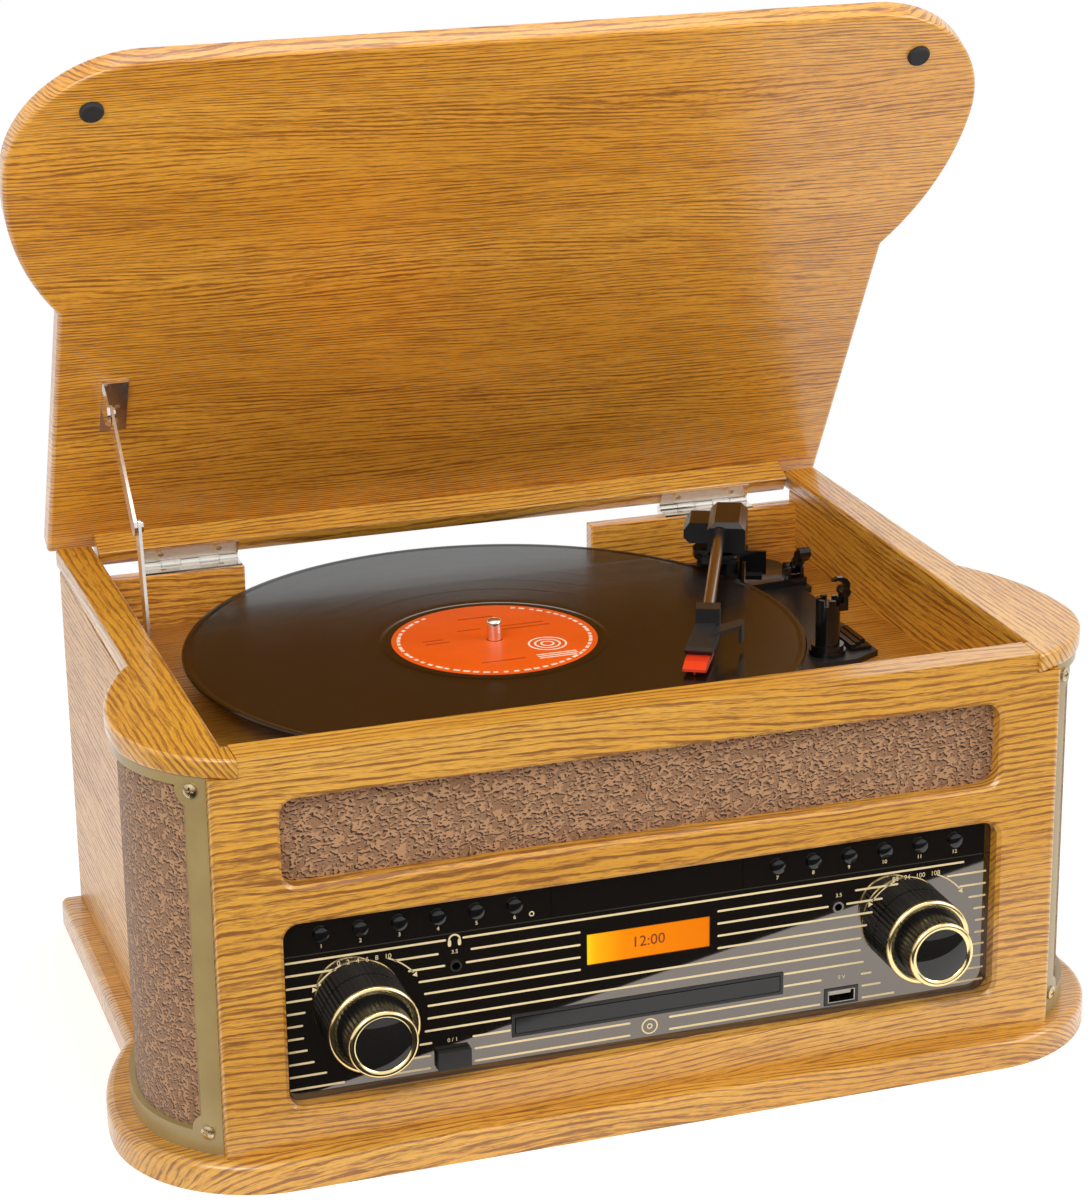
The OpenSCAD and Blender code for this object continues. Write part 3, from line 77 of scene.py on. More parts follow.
# ---------------------------------------------------------------- node helpers
class Nodes:
    """A few short calls for building one node tree."""

    def __init__(self, tree):
        self.t = tree
        tree.nodes.clear()

    def node(self, kind, **kw):
        n = self.t.nodes.new(kind)
        for k, v in kw.items():
            setattr(n, k, v)
        return n

    def link(self, a, b):
        self.t.links.new(a, b)

    def put(self, socket, value):
        if isinstance(value, bpy.types.NodeSocket):
            self.link(value, socket)
        else:
            socket.default_value = value

    def scaled(self, vec, scale=(1, 1, 1), place=(0, 0, 0), rotate=(0, 0, 0)):
        m = self.node("ShaderNodeMapping", vector_type="POINT")
        m.inputs["Location"].default_value = place
        m.inputs["Rotation"].default_value = rotate
        m.inputs["Scale"].default_value = scale
        self.link(vec, m.inputs["Vector"])
        return m.outputs[0]

    def coords(self, rotate=(0, 0, 0), place=(0, 0, 0)):
        here = self.node("ShaderNodeTexCoord").outputs["Object"]
        return self.scaled(here, place=place, rotate=rotate)

    def noise(self, vec, scale, detail=2.0, rough=0.5):
        n = self.node("ShaderNodeTexNoise")
        self.link(vec, n.inputs["Vector"])
        n.inputs["Scale"].default_value = scale
        n.inputs["Detail"].default_value = detail
        n.inputs["Roughness"].default_value = rough
        return n.outputs["Fac"]

    def voronoi(self, vec, scale, feature="F1"):
        n = self.node("ShaderNodeTexVoronoi", feature=feature)
        self.link(vec, n.inputs["Vector"])
        n.inputs["Scale"].default_value = scale
        return n.outputs["Distance"]

    def math(self, op, a, b=0.0, clamp=False):
        n = self.node("ShaderNodeMath", operation=op, use_clamp=clamp)
        self.put(n.inputs[0], a)
        self.put(n.inputs[1], b)
        return n.outputs[0]

    def add(self, a, b, clamp=False):
        return self.math("ADD", a, b, clamp)

    def sub(self, a, b, clamp=False):
        return self.math("SUBTRACT", a, b, clamp)

    def mul(self, a, b):
        return self.math("MULTIPLY", a, b)

    def length(self, x, y):
        return self.math("SQRT", self.add(self.mul(x, x), self.mul(y, y)))

    def split(self, vec):
        n = self.node("ShaderNodeSeparateXYZ")
        self.link(vec, n.inputs[0])
        return n.outputs

    def join(self, x, y, z):
        n = self.node("ShaderNodeCombineXYZ")
        for i, v in enumerate((x, y, z)):
            self.put(n.inputs[i], v)
        return n.outputs[0]

    def ramp(self, fac, stops):
        n = self.node("ShaderNodeValToRGB")
        e = n.color_ramp.elements
        while len(e) < len(stops):
            e.new(0.5)
        for i, (p, c) in enumerate(stops):
            e[i].position = p
            e[i].color = (*c, 1.0) if hasattr(c, "__len__") else (c, c, c, 1.0)
        self.link(fac, n.inputs[0])
        return n.outputs[0]

    def mix(self, fac, a, b):
        n = self.node("ShaderNodeMix", data_type="RGBA")
        self.put(n.inputs[0], fac)
        self.put(n.inputs[6], (*a, 1.0) if isinstance(a, tuple) else a)
        self.put(n.inputs[7], (*b, 1.0) if isinstance(b, tuple) else b)
        return n.outputs[2]

    def bump(self, height, distance, strength):
        n = self.node("ShaderNodeBump")
        self.link(height, n.inputs["Height"])
        n.inputs["Distance"].default_value = distance
        n.inputs["Strength"].default_value = strength
        return n.outputs[0]

    def emission(self, strength=1.0):
        """White light of its own."""
        n = self.node("ShaderNodeEmission")
        n.inputs[0].default_value = (1, 1, 1, 1)
        self.put(n.inputs[1], strength)
        return n.outputs[0]

    def seen(self):
        """1 for what the camera sees straight, in a gloss or through glass."""
        paths = self.node("ShaderNodeLightPath").outputs
        straight = self.math("MAXIMUM", paths["Is Camera Ray"], paths["Is Glossy Ray"])
        return self.math("MAXIMUM", straight, paths["Is Transmission Ray"])

    def blend(self, fac, first, second):
        n = self.node("ShaderNodeMixShader")
        for i, v in enumerate((fac, first, second)):
            self.link(v, n.inputs[i])
        return n.outputs[0]


class Shader(Nodes):
    """One material with a Principled shader."""

    def __init__(self, name):
        self.mat = bpy.data.materials.new(name)
        self.mat.use_nodes = True
        super().__init__(self.mat.node_tree)
        self.bsdf = self.node("ShaderNodeBsdfPrincipled")
        self.link(self.bsdf.outputs[0], self.node("ShaderNodeOutputMaterial").inputs[0])

    def set(self, **kw):
        names = dict(color="Base Color", rough="Roughness", metal="Metallic", ior="IOR", normal="Normal",
                     coat="Coat Weight", coat_rough="Coat Roughness", spec="Specular IOR Level",
                     sheen="Sheen Weight", sheen_rough="Sheen Roughness", aniso="Anisotropic",
                     glow="Emission Color", glow_power="Emission Strength", tint="Specular Tint")
        for k, v in kw.items():
            self.put(self.bsdf.inputs[names[k]], v)


def lin(r, g, b):
    """sRGB 0 to 255 as linear colour."""
    return tuple((c / 255 / 12.92) if c <= 10 else ((c / 255 + 0.055) / 1.055) ** 2.4 for c in (r, g, b))


# ---------------------------------------------------------------- materials
def oak(name, along, across, shift, tilt=0.0, tone=(1.0, 1.0, 1.0), figure=1.0, pitch=2.9, coat=0.75):
    """Golden oak foil. along is the grain's axis and across the one that its growth lines follow each other on.
    tilt turns the sheet about X first. pitch is the lines' distance in mm and figure how far they wander."""
    s = Shader(name)
    axes = dict(zip("xyz", s.split(s.coords(rotate=(tilt, 0, 0), place=shift))))
    u, w = axes.pop(along), axes.pop(across)
    n, = axes.values()
    # the growth lines also cross the edges of the board
    w = s.add(w, s.mul(n, 0.8))
    grain = s.join(u, w, n)
    broad = s.noise(s.scaled(grain, (1.8, 8.5, 7)), 1.0, 2.0, 0.42)
    wobble = s.noise(s.scaled(grain, (26, 80, 60)), 1.0, 2.0, 0.55)
    # the growth lines follow the broad figure, and streaks and pores follow the growth lines
    w2 = s.add(s.add(w, s.mul(broad, 0.08 * figure)), s.mul(wobble, 0.0030))
    flow = s.join(u, w2, s.mul(n, 0.3))
    ring = s.math("FRACT", s.mul(w2, 1000.0 / pitch))
    profile = s.ramp(ring, [(0.0, 0.25), (0.20, 0.0), (0.45, 0.20), (0.72, 0.80), (0.88, 1.0), (1.0, 0.25)])
    patch = s.noise(s.scaled(grain, (4, 26, 22), (3, 1, 2)), 1.0, 3.0, 0.6)
    streak = s.noise(s.scaled(flow, (34, 900, 320)), 1.0, 3.0, 0.75)
    dash = s.noise(s.scaled(flow, (190, 3000, 1000)), 1.0, 2.0, 0.6)
    field = s.add(s.mul(profile, 0.24), streak)
    field = s.add(field, s.mul(patch, 0.22))
    field = s.add(field, s.mul(dash, 0.34))
    dark = s.ramp(s.sub(field, 0.36), [(0.47, 0.0), (0.56, 0.45), (0.67, 1.0)])
    pores = s.ramp(dash, [(0.0, 0.0), (0.50, 0.0), (0.66, 1.0)])
    tint = s.noise(s.scaled(grain, (4, 18, 12), (7, 7, 7)), 1.0, 2.0, 0.5)

    def toned(r, g, b):
        return tuple(a * k for a, k in zip(lin(r, g, b), tone))

    base = s.ramp(tint, [(0.25, toned(212, 150, 46)), (0.50, toned(220, 160, 56)), (0.75, toned(228, 172, 70))])
    base = s.mix(s.mul(s.ramp(streak, [(0.35, 0.0), (0.62, 1.0)]), 0.35), base, toned(188, 122, 36))
    base = s.mix(s.mul(pores, 0.34), base, toned(158, 98, 28))
    base = s.mix(s.mul(dark, 0.80), base, toned(116, 60, 14))
    rough = s.ramp(dark, [(0.0, 0.30), (1.0, 0.42)])
    height = s.mul(s.add(s.mul(dark, 0.7), s.mul(pores, 0.5)), -1.0)
    s.set(color=base, rough=rough, normal=s.bump(height, 0.00006, 0.55), coat=coat, coat_rough=0.2, spec=0.5)
    return s.mat


def speaker_cloth(name):
    """Brown woven cloth with small raised figures, with a painted shadow along their lower left sides."""
    thread = 0.75 * MM
    s = Shader(name)
    v = s.coords()
    x, y, z = s.split(v)
    # the run of the cloth goes round the bays on both sides
    hand = s.sub(s.mul(s.math("GREATER_THAN", x, 0.0), 1.8), 0.9)
    across = s.add(x, s.mul(s.sub(y, (9 + Y0) * MM), hand))
    bend = s.mul(s.sub(s.noise(v, 260.0, 1.0, 0.5), 0.5), 0.0025)

    def lumps(dx, dz):
        """The raised figures, looked up a little to the side."""
        vv = s.join(s.add(s.add(across, dx), bend), 0.0, s.add(s.add(z, dz), bend))
        small = s.noise(s.scaled(vv, (470, 1, 720)), 1.0, 1.0, 0.45)
        group = s.noise(s.scaled(vv, (210, 1, 210)), 1.0, 0.0, 0.5)
        return s.add(s.mul(small, 0.75), s.mul(group, 0.35))

    lump = s.ramp(lumps(0.0, 0.0), [(0.555, 0.0), (0.585, 1.0)])
    beside = s.ramp(lumps(0.00045, 0.0006), [(0.560, 0.0), (0.580, 1.0)])
    # painted shadow: dark where the shifted figures cover a point that the figures themselves leave bare
    painted_shadow = s.sub(beside, lump, clamp=True)
    weave = s.mul(*(s.math("SINE", s.mul(q, 2 * math.pi / thread)) for q in (z, across)))
    fibre = s.noise(v, 1500.0, 2.0, 0.7)
    shade = s.noise(v, 60.0, 3.0, 0.6)
    base = s.ramp(shade, [(0.3, lin(147, 107, 76)), (0.7, lin(167, 127, 94))])
    base = s.mix(s.mul(s.ramp(fibre, [(0.35, 1.0), (0.6, 0.0)]), 0.45), base, lin(98, 66, 46))
    base = s.mix(s.mul(s.add(weave, 1.0), 0.16), base, lin(112, 78, 54))
    base = s.mix(s.mul(lump, 0.62), base, lin(196, 149, 107))
    # the painted shadow darkens the colour along the figures' lower left sides
    base = s.mix(s.mul(painted_shadow, 0.90), base, lin(44, 26, 16))
    h = s.add(lump, s.mul(weave, 0.2))
    h = s.sub(h, s.mul(painted_shadow, 0.7))
    h = s.add(h, s.mul(fibre, 0.3))
    s.set(color=base, rough=0.85, normal=s.bump(h, 0.0004, 0.8), sheen=0.2, sheen_rough=0.5, spec=0.2)
    return s.mat


def plastic(name, rgb, rough, bump=0.00001, grain=900.0, coat=0.0, coat_rough=0.05, wear=0.04, spec=0.5,
            ior=1.5, tint=(1.0, 1.0, 1.0, 1.0)):
    """Moulded plastic: slight mottling, fine surface grain and a little handling wear in the gloss."""
    s = Shader(name)
    v = s.coords()
    fine = s.noise(v, grain, 3.0, 0.6)
    cloud = s.noise(v, 35.0, 3.0, 0.6)
    lift = tuple(min(1.0, c * 1.35 + wear * 0.06) for c in rgb)
    base = s.mix(s.ramp(cloud, [(0.35, 0.0), (0.75, 0.6)]), rgb, lift)
    base = s.mix(s.mul(fine, 0.12), base, lift)
    r = s.ramp(s.add(s.mul(cloud, 0.6), s.mul(fine, 0.4)),
               [(0.3, max(0.0, rough - wear)), (0.7, rough + wear)])
    s.set(color=base, rough=r, normal=s.bump(fine, bump, 0.5), coat=coat, coat_rough=coat_rough, spec=spec,
          ior=ior, tint=tint)
    return s.mat


def two_finishes(name, region, inside, outside):
    """One moulding with two finishes. region builds the mask from x, d and z in mm. Each finish is a colour, a
    roughness and a metalness."""
    s = Shader(name)
    v = s.coords()
    x, y, z = (s.mul(q, 1000.0) for q in s.split(v))
    mask = region(s, x, s.sub(y, Y0), z)
    fine = s.noise(v, 900.0, 3.0, 0.6)
    shades = [s.mix(s.mul(fine, 0.3), rgb, tuple(c * 0.75 for c in rgb)) for rgb, _, _ in (outside, inside)]
    rough = s.add(s.mul(mask, inside[1] - outside[1]), outside[1])
    rough = s.add(rough, s.mul(fine, 0.03))
    metalness = s.add(s.mul(mask, inside[2] - outside[2]), outside[2])
    s.set(color=s.mix(mask, *shades), rough=rough, metal=metalness, normal=s.bump(fine, 0.000004, 0.5))
    return s.mat


def round_zone(s, x, z, cx, cz, r0, r1):
    """1 between the radii r0 and r1 about a point, else 0."""
    r = s.length(s.sub(x, cx), s.sub(z, cz))
    return s.mul(s.math("GREATER_THAN", r, r0), s.math("LESS_THAN", r, r1))


def cap_zone(s, x, d, z):
    """The domed caps of both knobs."""
    near = s.math("LESS_THAN", d, -21.1)
    return s.mul(near, round_zone(s, s.math("ABSOLUTE", x), z, KNOB_X, KNOB_Z, -1.0, 12.7))


def tube_zone(s, x, d, z):
    """The tonearm's tube in front of its housing."""
    ahead = s.add(s.mul(s.sub(x, ARM_X), ARM_RUN[0]), s.mul(s.sub(d, ARM_D), ARM_RUN[1]))
    return s.math("GREATER_THAN", ahead, 18.1)


def socket_zone(s, x, d, z):
    """The bright parts: the jacks' inner rings, the host socket's shell and the sockets at the back."""
    rings = s.add(round_zone(s, x, z, -90.1, 87.0, 1.75, 2.7), round_zone(s, x, z, 92.5, 87.0, 1.75, 2.7))
    flat = s.mul(s.math("LESS_THAN", s.math("ABSOLUTE", s.sub(x, 95.0)), 6.75),
                 s.math("LESS_THAN", s.math("ABSOLUTE", s.sub(z, 41.85)), 3.0))
    front = s.mul(s.add(rings, flat, clamp=True), s.math("LESS_THAN", d, 60.0))
    back = s.mul(s.math("GREATER_THAN", d, 200.0), s.math("GREATER_THAN", x, 0.0))
    return s.add(front, back, clamp=True)


def metal(name, rgb, rough, brushed=None, tarnish=0.0):
    """Plated or brushed metal with faint scratches and stains."""
    s = Shader(name)
    stretch = {None: (700, 700, 700), "x": (40, 1800, 1800), "z": (1800, 1800, 40)}[brushed]
    v = s.coords()
    lines = s.noise(s.scaled(v, stretch), 1.0, 3.0, 0.6)
    cloud = s.noise(v, 90.0, 3.0, 0.6)
    base = s.mix(s.ramp(cloud, [(0.4, 0.0), (0.75, 0.35)]), rgb, tuple(c * 0.82 for c in rgb))
    if tarnish:
        stains = s.ramp(s.noise(v, 220.0, 4.0, 0.7), [(0.5, 0.0), (0.7, 1.0)])
        base = s.mix(s.mul(stains, tarnish), base, (0.3, 0.2, 0.1))
    r = s.ramp(s.add(s.mul(lines, 0.6), s.mul(cloud, 0.4)),
               [(0.3, max(0.0, rough - 0.04)), (0.7, rough + 0.05)])
    s.set(color=base, rough=r, metal=1.0, normal=s.bump(lines, 0.000006, 0.5))
    return s.mat


def record_vinyl(name, cx, cy):
    """Vinyl with cut grooves and wider gaps between tracks, round the record's centre."""
    s = Shader(name)
    x, y, _ = s.split(s.coords(place=(-cx, -cy, 0)))
    r = s.length(x, y)
    # run-out, then five gaps between tracks, then the rim, as shares of 0.15 m
    bands = s.ramp(s.math("DIVIDE", r, 0.15), [
        (0.0, 0.0), (0.355, 0.0), (0.36, 0.5), (0.40, 0.5), (0.405, 1.0),
        (0.505, 1.0), (0.51, 0.2), (0.516, 1.0), (0.60, 1.0), (0.606, 0.2), (0.612, 1.0),
        (0.70, 1.0), (0.706, 0.2), (0.712, 1.0), (0.80, 1.0), (0.806, 0.2), (0.812, 1.0),
        (0.885, 1.0), (0.89, 0.2), (0.896, 1.0), (0.965, 1.0), (0.972, 0.0), (1.0, 0.0)])
    groove = s.math("SINE", s.mul(r, 2 * math.pi / 0.00055))
    swell = s.noise(s.join(r, 0.0, 0.0), 900.0, 2.0, 0.6)
    angle = s.math("ARCTAN2", y, x)
    dust = s.noise(s.coords(), 600.0, 4.0, 0.7)
    h = s.mul(s.mul(groove, bands), 0.5)
    h = s.add(h, s.mul(s.mul(swell, bands), 1.1))
    base = s.mix(s.mul(swell, 0.6), lin(15, 9, 5), lin(32, 20, 10))
    base = s.mix(s.mul(s.ramp(dust, [(0.62, 0.0), (0.8, 1.0)]), 0.10), base, lin(120, 105, 90))
    play = s.noise(s.join(s.mul(angle, 0.6), s.mul(r, 160.0), 0.0), 1.0, 2.0, 0.6)
    rough = s.add(s.mul(s.mul(bands, play), 0.12), 0.15)
    tangent = s.node("ShaderNodeTangent", direction_type="RADIAL", axis="Z")
    s.put(s.bsdf.inputs["Tangent"], tangent.outputs[0])
    s.set(color=base, rough=rough, aniso=0.6, normal=s.bump(h, 0.00003, 0.5), spec=0.3, coat=0.12,
          coat_rough=0.06)
    return s.mat


def label_paper(name, cx, cy, top_rgb):
    """Printed record label: matt coated paper with faint fibres."""
    s = Shader(name)
    v = s.coords(place=(-cx, -cy, 0))
    fibre = s.noise(v, 1400.0, 3.0, 0.6)
    cloud = s.noise(v, 45.0, 2.0, 0.5)
    pale = tuple(min(1, c * 1.12 + 0.004) for c in top_rgb)
    base = s.mix(s.ramp(cloud, [(0.35, 0.0), (0.7, 0.7)]), top_rgb, pale)
    base = s.mix(s.mul(fibre, 0.16), base, tuple(c * 0.7 for c in top_rgb))
    s.set(color=base, rough=0.45, normal=s.bump(fibre, 0.00002, 0.5), spec=0.15)
    return s.mat


def display_glass(name):
    """Back-lit orange display, yellower at its left end."""
    s = Shader(name)
    x, _, z = s.split(s.coords())
    t = s.add(s.mul(x, 1 / 0.0587), 0.49)
    cells = s.mul(*(s.math("SINE", s.mul(q, 2 * math.pi / 0.00045)) for q in (x, z)))
    base = s.ramp(t, [(0.0, lin(255, 196, 16)), (0.08, lin(250, 164, 8)), (0.30, lin(228, 128, 2)),
                      (1.0, lin(220, 112, 0))])
    base = s.mix(s.mul(s.add(cells, 1.0), 0.02), base, lin(190, 90, 0))
    s.set(color=base, rough=0.2, glow=base, glow_power=0.16, spec=0.12,
          normal=s.bump(cells, 0.000004, 0.4))
    return s.mat


def board(name):
    """Green lacquered circuit board with copper tracks under the lacquer."""
    s = Shader(name)
    v = s.coords()
    tracks = s.voronoi(v, 220.0, "DISTANCE_TO_EDGE")
    base = s.mix(s.ramp(tracks, [(0.03, 1.0), (0.06, 0.0)]), lin(22, 92, 48), lin(70, 140, 80))
    pads = s.voronoi(v, 400.0)
    base = s.mix(s.ramp(pads, [(0.10, 1.0), (0.16, 0.0)]), base, lin(200, 190, 150))
    s.set(color=base, rough=0.3, normal=s.bump(tracks, 0.00005, 0.6), coat=0.4, coat_rough=0.1)
    return s.mat


def cone_paper(name):
    """Black doped paper of the speaker cones, and their frames."""
    s = Shader(name)
    v = s.coords()
    fibre = s.noise(v, 500.0, 4.0, 0.7)
    base = s.mix(fibre, lin(26, 25, 24), lin(52, 50, 47))
    s.set(color=base, rough=0.7, normal=s.bump(fibre, 0.0001, 0.7))
    return s.mat


M = {
    "oak_front": oak("oak_front", "x", "z", (0.31, 0.2, 0.022), figure=0.8, pitch=3.4),
    # the lid's raised tone is painted light: it stands in for the sheen and light on the lid
    "oak_lid": oak("oak_lid", "x", "y", (0.63, 0.1, 0.4), tilt=-LID_TILT, figure=0.9,
                   tone=(1.14, 1.06, 0.88), pitch=2.5),
    "oak_rail": oak("oak_rail", "x", "z", (1.31, 0.7, 0.9), figure=0.5),
    "oak_base": oak("oak_base", "x", "y", (2.1, 1.3, 0.4), figure=0.9),
    "oak_side": oak("oak_side", "y", "z", (0.2, 4.1, 0.7), figure=0.7, tone=(1.0, 0.96, 0.84),
                    coat=0.2),
    "oak_cap": oak("oak_cap", "y", "x", (3.1, 2.7, 1.4), figure=0.55, tone=(1.06, 1.08, 1.0)),
    "oak_deck": oak("oak_deck", "x", "y", (5.1, 3.3, 2.4), figure=0.8, tone=(0.80, 0.72, 0.62)),
    # the back panel's raised tone is painted light on the shaded back panel
    "oak_back": oak("oak_back", "x", "z", (6.1, 5.3, 3.4), figure=0.7, tone=(1.18, 1.10, 1.20)),
    "cloth": speaker_cloth("speaker_cloth"),
    "frame_gold": plastic("frame_gold", lin(150, 128, 80), 0.34, bump=0.00002, wear=0.05, coat=0.3,
                          coat_rough=0.2),
    "screw": metal("screw_brass", (0.62, 0.50, 0.30), 0.26),
    # the warm specular tint is a painted reflection colour, standing in for warm things reflected in the gloss
    "fascia": plastic("fascia_gloss", lin(15, 11, 8), 0.03, bump=0.0000005, wear=0.006, ior=2.4,
                      tint=(1.0, 0.90, 0.80, 1.0)),
    "gold_print": plastic("gold_print", lin(216, 196, 150), 0.45, bump=0.000003),
    "black_satin": plastic("black_satin", lin(24, 23, 22), 0.36, bump=0.00002),
    "black_gloss": plastic("black_gloss", lin(16, 15, 15), 0.10, bump=0.000004, wear=0.02),
    "knob_black": two_finishes("knob_black", cap_zone, (lin(26, 24, 22), 0.03, 0.0),
                               (lin(18, 16, 14), 0.27, 0.0)),
    "sockets": two_finishes("sockets", socket_zone, (lin(160, 154, 142), 0.25, 1.0),
                            (lin(20, 18, 17), 0.25, 0.0)),
    "arm": two_finishes("tonearm", tube_zone, (lin(150, 138, 128), 0.22, 1.0), (lin(18, 17, 17), 0.2, 0.0)),
    "digits": plastic("display_digits", lin(120, 44, 8), 0.3, bump=0.000001),
    "knob_gold": metal("knob_gold", (0.95, 0.76, 0.38), 0.16),
    "nickel": metal("nickel", (0.80, 0.76, 0.70), 0.16, tarnish=0.12),
    "chrome": metal("chrome", (0.86, 0.85, 0.84), 0.06),
    "steel": metal("steel", (0.60, 0.59, 0.57), 0.30, brushed="x"),
    "brass": metal("brass", (0.74, 0.56, 0.26), 0.2, brushed="z"),
    "rubber": plastic("rubber", lin(34, 33, 33), 0.75, bump=0.00004, grain=500.0),
    "display": display_glass("display_glass"),
    "board": board("circuit_board"),
    "cone": cone_paper("speaker_cone"),
    "red": plastic("stylus_red", lin(214, 54, 22), 0.22, bump=0.000005, coat=0.3),
    "vinyl": record_vinyl("record_vinyl", RECORD_X * MM, (RECORD_D + Y0) * MM),
}

USE = {
    "front_panel": "oak_front", "lid_board": "oak_lid", "lid_rail": "oak_rail", "base_plinth": "oak_base",
    "left_side_panel": "oak_side", "right_side_panel": "oak_side", "left_top_cap": "oak_cap",
    "right_top_cap": "oak_cap", "deck_board": "oak_deck", "back_panel": "oak_back",
    "left_grille_frame": "frame_gold", "right_grille_frame": "frame_gold", "left_grille_cloth": "cloth",
    "right_grille_cloth": "cloth", "front_grille_cloth": "cloth", "frame_screws": "screw",
    "fascia_panel": "fascia", "display_window": "display", "sockets": "sockets", "circuit_boards": "board",
    "volume_knob": "knob_black", "tuning_knob": "knob_black", "power_button": "black_satin",
    "cd_drive": "steel", "cd_tray": "black_gloss", "turntable_plate": "black_satin", "platter": "rubber",
    "vinyl_record": "vinyl", "platter_motor": "steel", "motor_pulley": "brass", "drive_belt": "rubber",
    "tonearm_base": "black_gloss", "tonearm_yoke": "black_gloss", "tonearm_tube": "arm",
    "headshell": "black_satin", "cartridge": "red", "arm_rest": "black_gloss", "arm_rest_clip": "black_gloss",
    "cue_lever": "black_gloss", "speed_switch": "black_gloss", "lid_buffers": "rubber",
    "lid_hinge_leaves": "nickel", "cabinet_hinge_leaves": "nickel", "stay_bracket": "nickel",
    "stay_upper_arm": "nickel", "stay_lower_arm": "nickel", "stay_foot": "nickel", "speakers": "cone",
}
for node_name, obj in NODES.items():
    obj.data.materials.clear()
    obj.data.materials.append(M[USE.get(node_name, "black_gloss")])


# ---------------------------------------------------------------- mesh helpers
def add_object(name, data):
    o = bpy.data.objects.new(name, data)
    bpy.context.scene.collection.objects.link(o)
    return o


def mesh_piece(name, verts, faces, mat, body, smooth=True):
    """A piece of its own from points and faces, riding on body."""
    me = bpy.data.meshes.new(name)
    me.from_pydata([tuple(v) for v in verts], [], faces)
    bm = bmesh.new()
    bm.from_mesh(me)
    bmesh.ops.recalc_face_normals(bm, faces=bm.faces)
    bm.to_mesh(me)
    bm.free()
    if smooth:
        me.shade_smooth()
        me.set_sharp_from_angle(angle=math.radians(40))
    me.materials.append(M[mat])
    o = add_object(name, me)
    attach(o, body)
    return o


def lathe(name, centre, axis, profile, mat, body, n=96):
    """A ring whose closed profile is (radius, height) in mm about and along axis."""
    a = Vector(axis)
    u = a.cross(Vector((0, 0, 1)) if abs(a.z) < 0.9 else Vector((1, 0, 0)))
    v = a.cross(u)
    verts, faces = [], []
    m = len(profile)
    for k in range(n):
        t = 2 * math.pi * k / n
        out = u * math.cos(t) + v * math.sin(t)
        for r, h in profile:
            verts.append(centre + out * r * MM + a * h * MM)
        k2 = (k + 1) % n
        for i in range(m):
            j = (i + 1) % m
            faces.append((k * m + i, k2 * m + i, k2 * m + j, k * m + j))
    return mesh_piece(name, verts, faces, mat, body)


def capsule_outline(x0, z0, x1, z1, width, n=6):
    """Outline of a round-ended bar in the fascia's plane."""
    a = math.atan2(z1 - z0, x1 - x0)
    r = width / 2
    pts = []
    for x, z, start in ((x1, z1, a - math.pi / 2), (x0, z0, a + math.pi / 2)):
        for k in range(n + 1):
            t = start + math.pi * k / n
            pts.append((x + r * math.cos(t), z + r * math.sin(t)))
    return pts


def ring_outlines(cx, cz, r, width, n=28, turn=2 * math.pi):
    """A ring, or its first part, as n small four-sided figures."""
    out = []
    for k in range(n):
        a, b = turn * k / n, turn * (k + 1) / n
        out.append([(cx + (r + s * width / 2) * math.cos(t), cz + (r + s * width / 2) * math.sin(t))
                    for s, t in ((1, a), (1, b), (-1, b), (-1, a))])
    return out


def plates(name, outlines, d, thick, mat, body, to_point=None):
    """Flat figures from outlines in x and z, printed on a plane at depth d and proud towards the viewer."""
    verts, faces = [], []
    place = to_point or (lambda x, z, depth: P(x, depth, z))
    for pts in outlines:
        b = len(verts)
        n = len(pts)
        verts += [place(x, z, d - thick) for x, z in pts]
        verts += [place(x, z, d) for x, z in pts]
        faces.append(list(range(b, b + n)))
        faces += [(b + i, b + (i + 1) % n, b + n + (i + 1) % n, b + n + i) for i in range(n)]
    return mesh_piece(name, verts, faces, mat, body, smooth=False)


def figures(name, text, x, z, size, d, mat, body, depth=0.04):
    """Plain numbers, as a thin mesh on the fascia."""
    cu = bpy.data.curves.new(name, "FONT")
    cu.body = text
    cu.size = size * MM * 1.4
    cu.align_x = "CENTER"
    cu.align_y = "CENTER"
    cu.extrude = depth * MM
    cu.resolution_u = 3
    o = add_object(name + "_c", cu)
    bpy.context.view_layer.update()
    me = bpy.data.meshes.new_from_object(o.evaluated_get(bpy.context.evaluated_depsgraph_get()))
    bpy.data.objects.remove(o)
    me.transform(Matrix.Translation(P(x, d, z)) @ Matrix.Rotation(math.radians(90), 4, "X"))
    me.name = name
    me.materials.clear()
    me.materials.append(M[mat])
    out = add_object(name, me)
    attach(out, body)
    return out


def joined(name, objs):
    """Joins pieces of one body and one material into one object."""
    bm = bmesh.new()
    for o in objs:
        bm.from_mesh(o.data)
    me = bpy.data.meshes.new(name)
    bm.to_mesh(me)
    bm.free()
    me.materials.append(objs[0].data.materials[0])
    body = objs[0]["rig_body"]
    for o in objs:
        bpy.data.objects.remove(o)
    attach(add_object(name, me), body)


# ---------------------------------------------------------------- fascia print
PRINT = 0.05                         # how proud the print stands
LINE_W, LINE_TOP, LINE_PITCH = 1.0, 99.9, 6.1
E = 166.6                            # the lines' outer ends
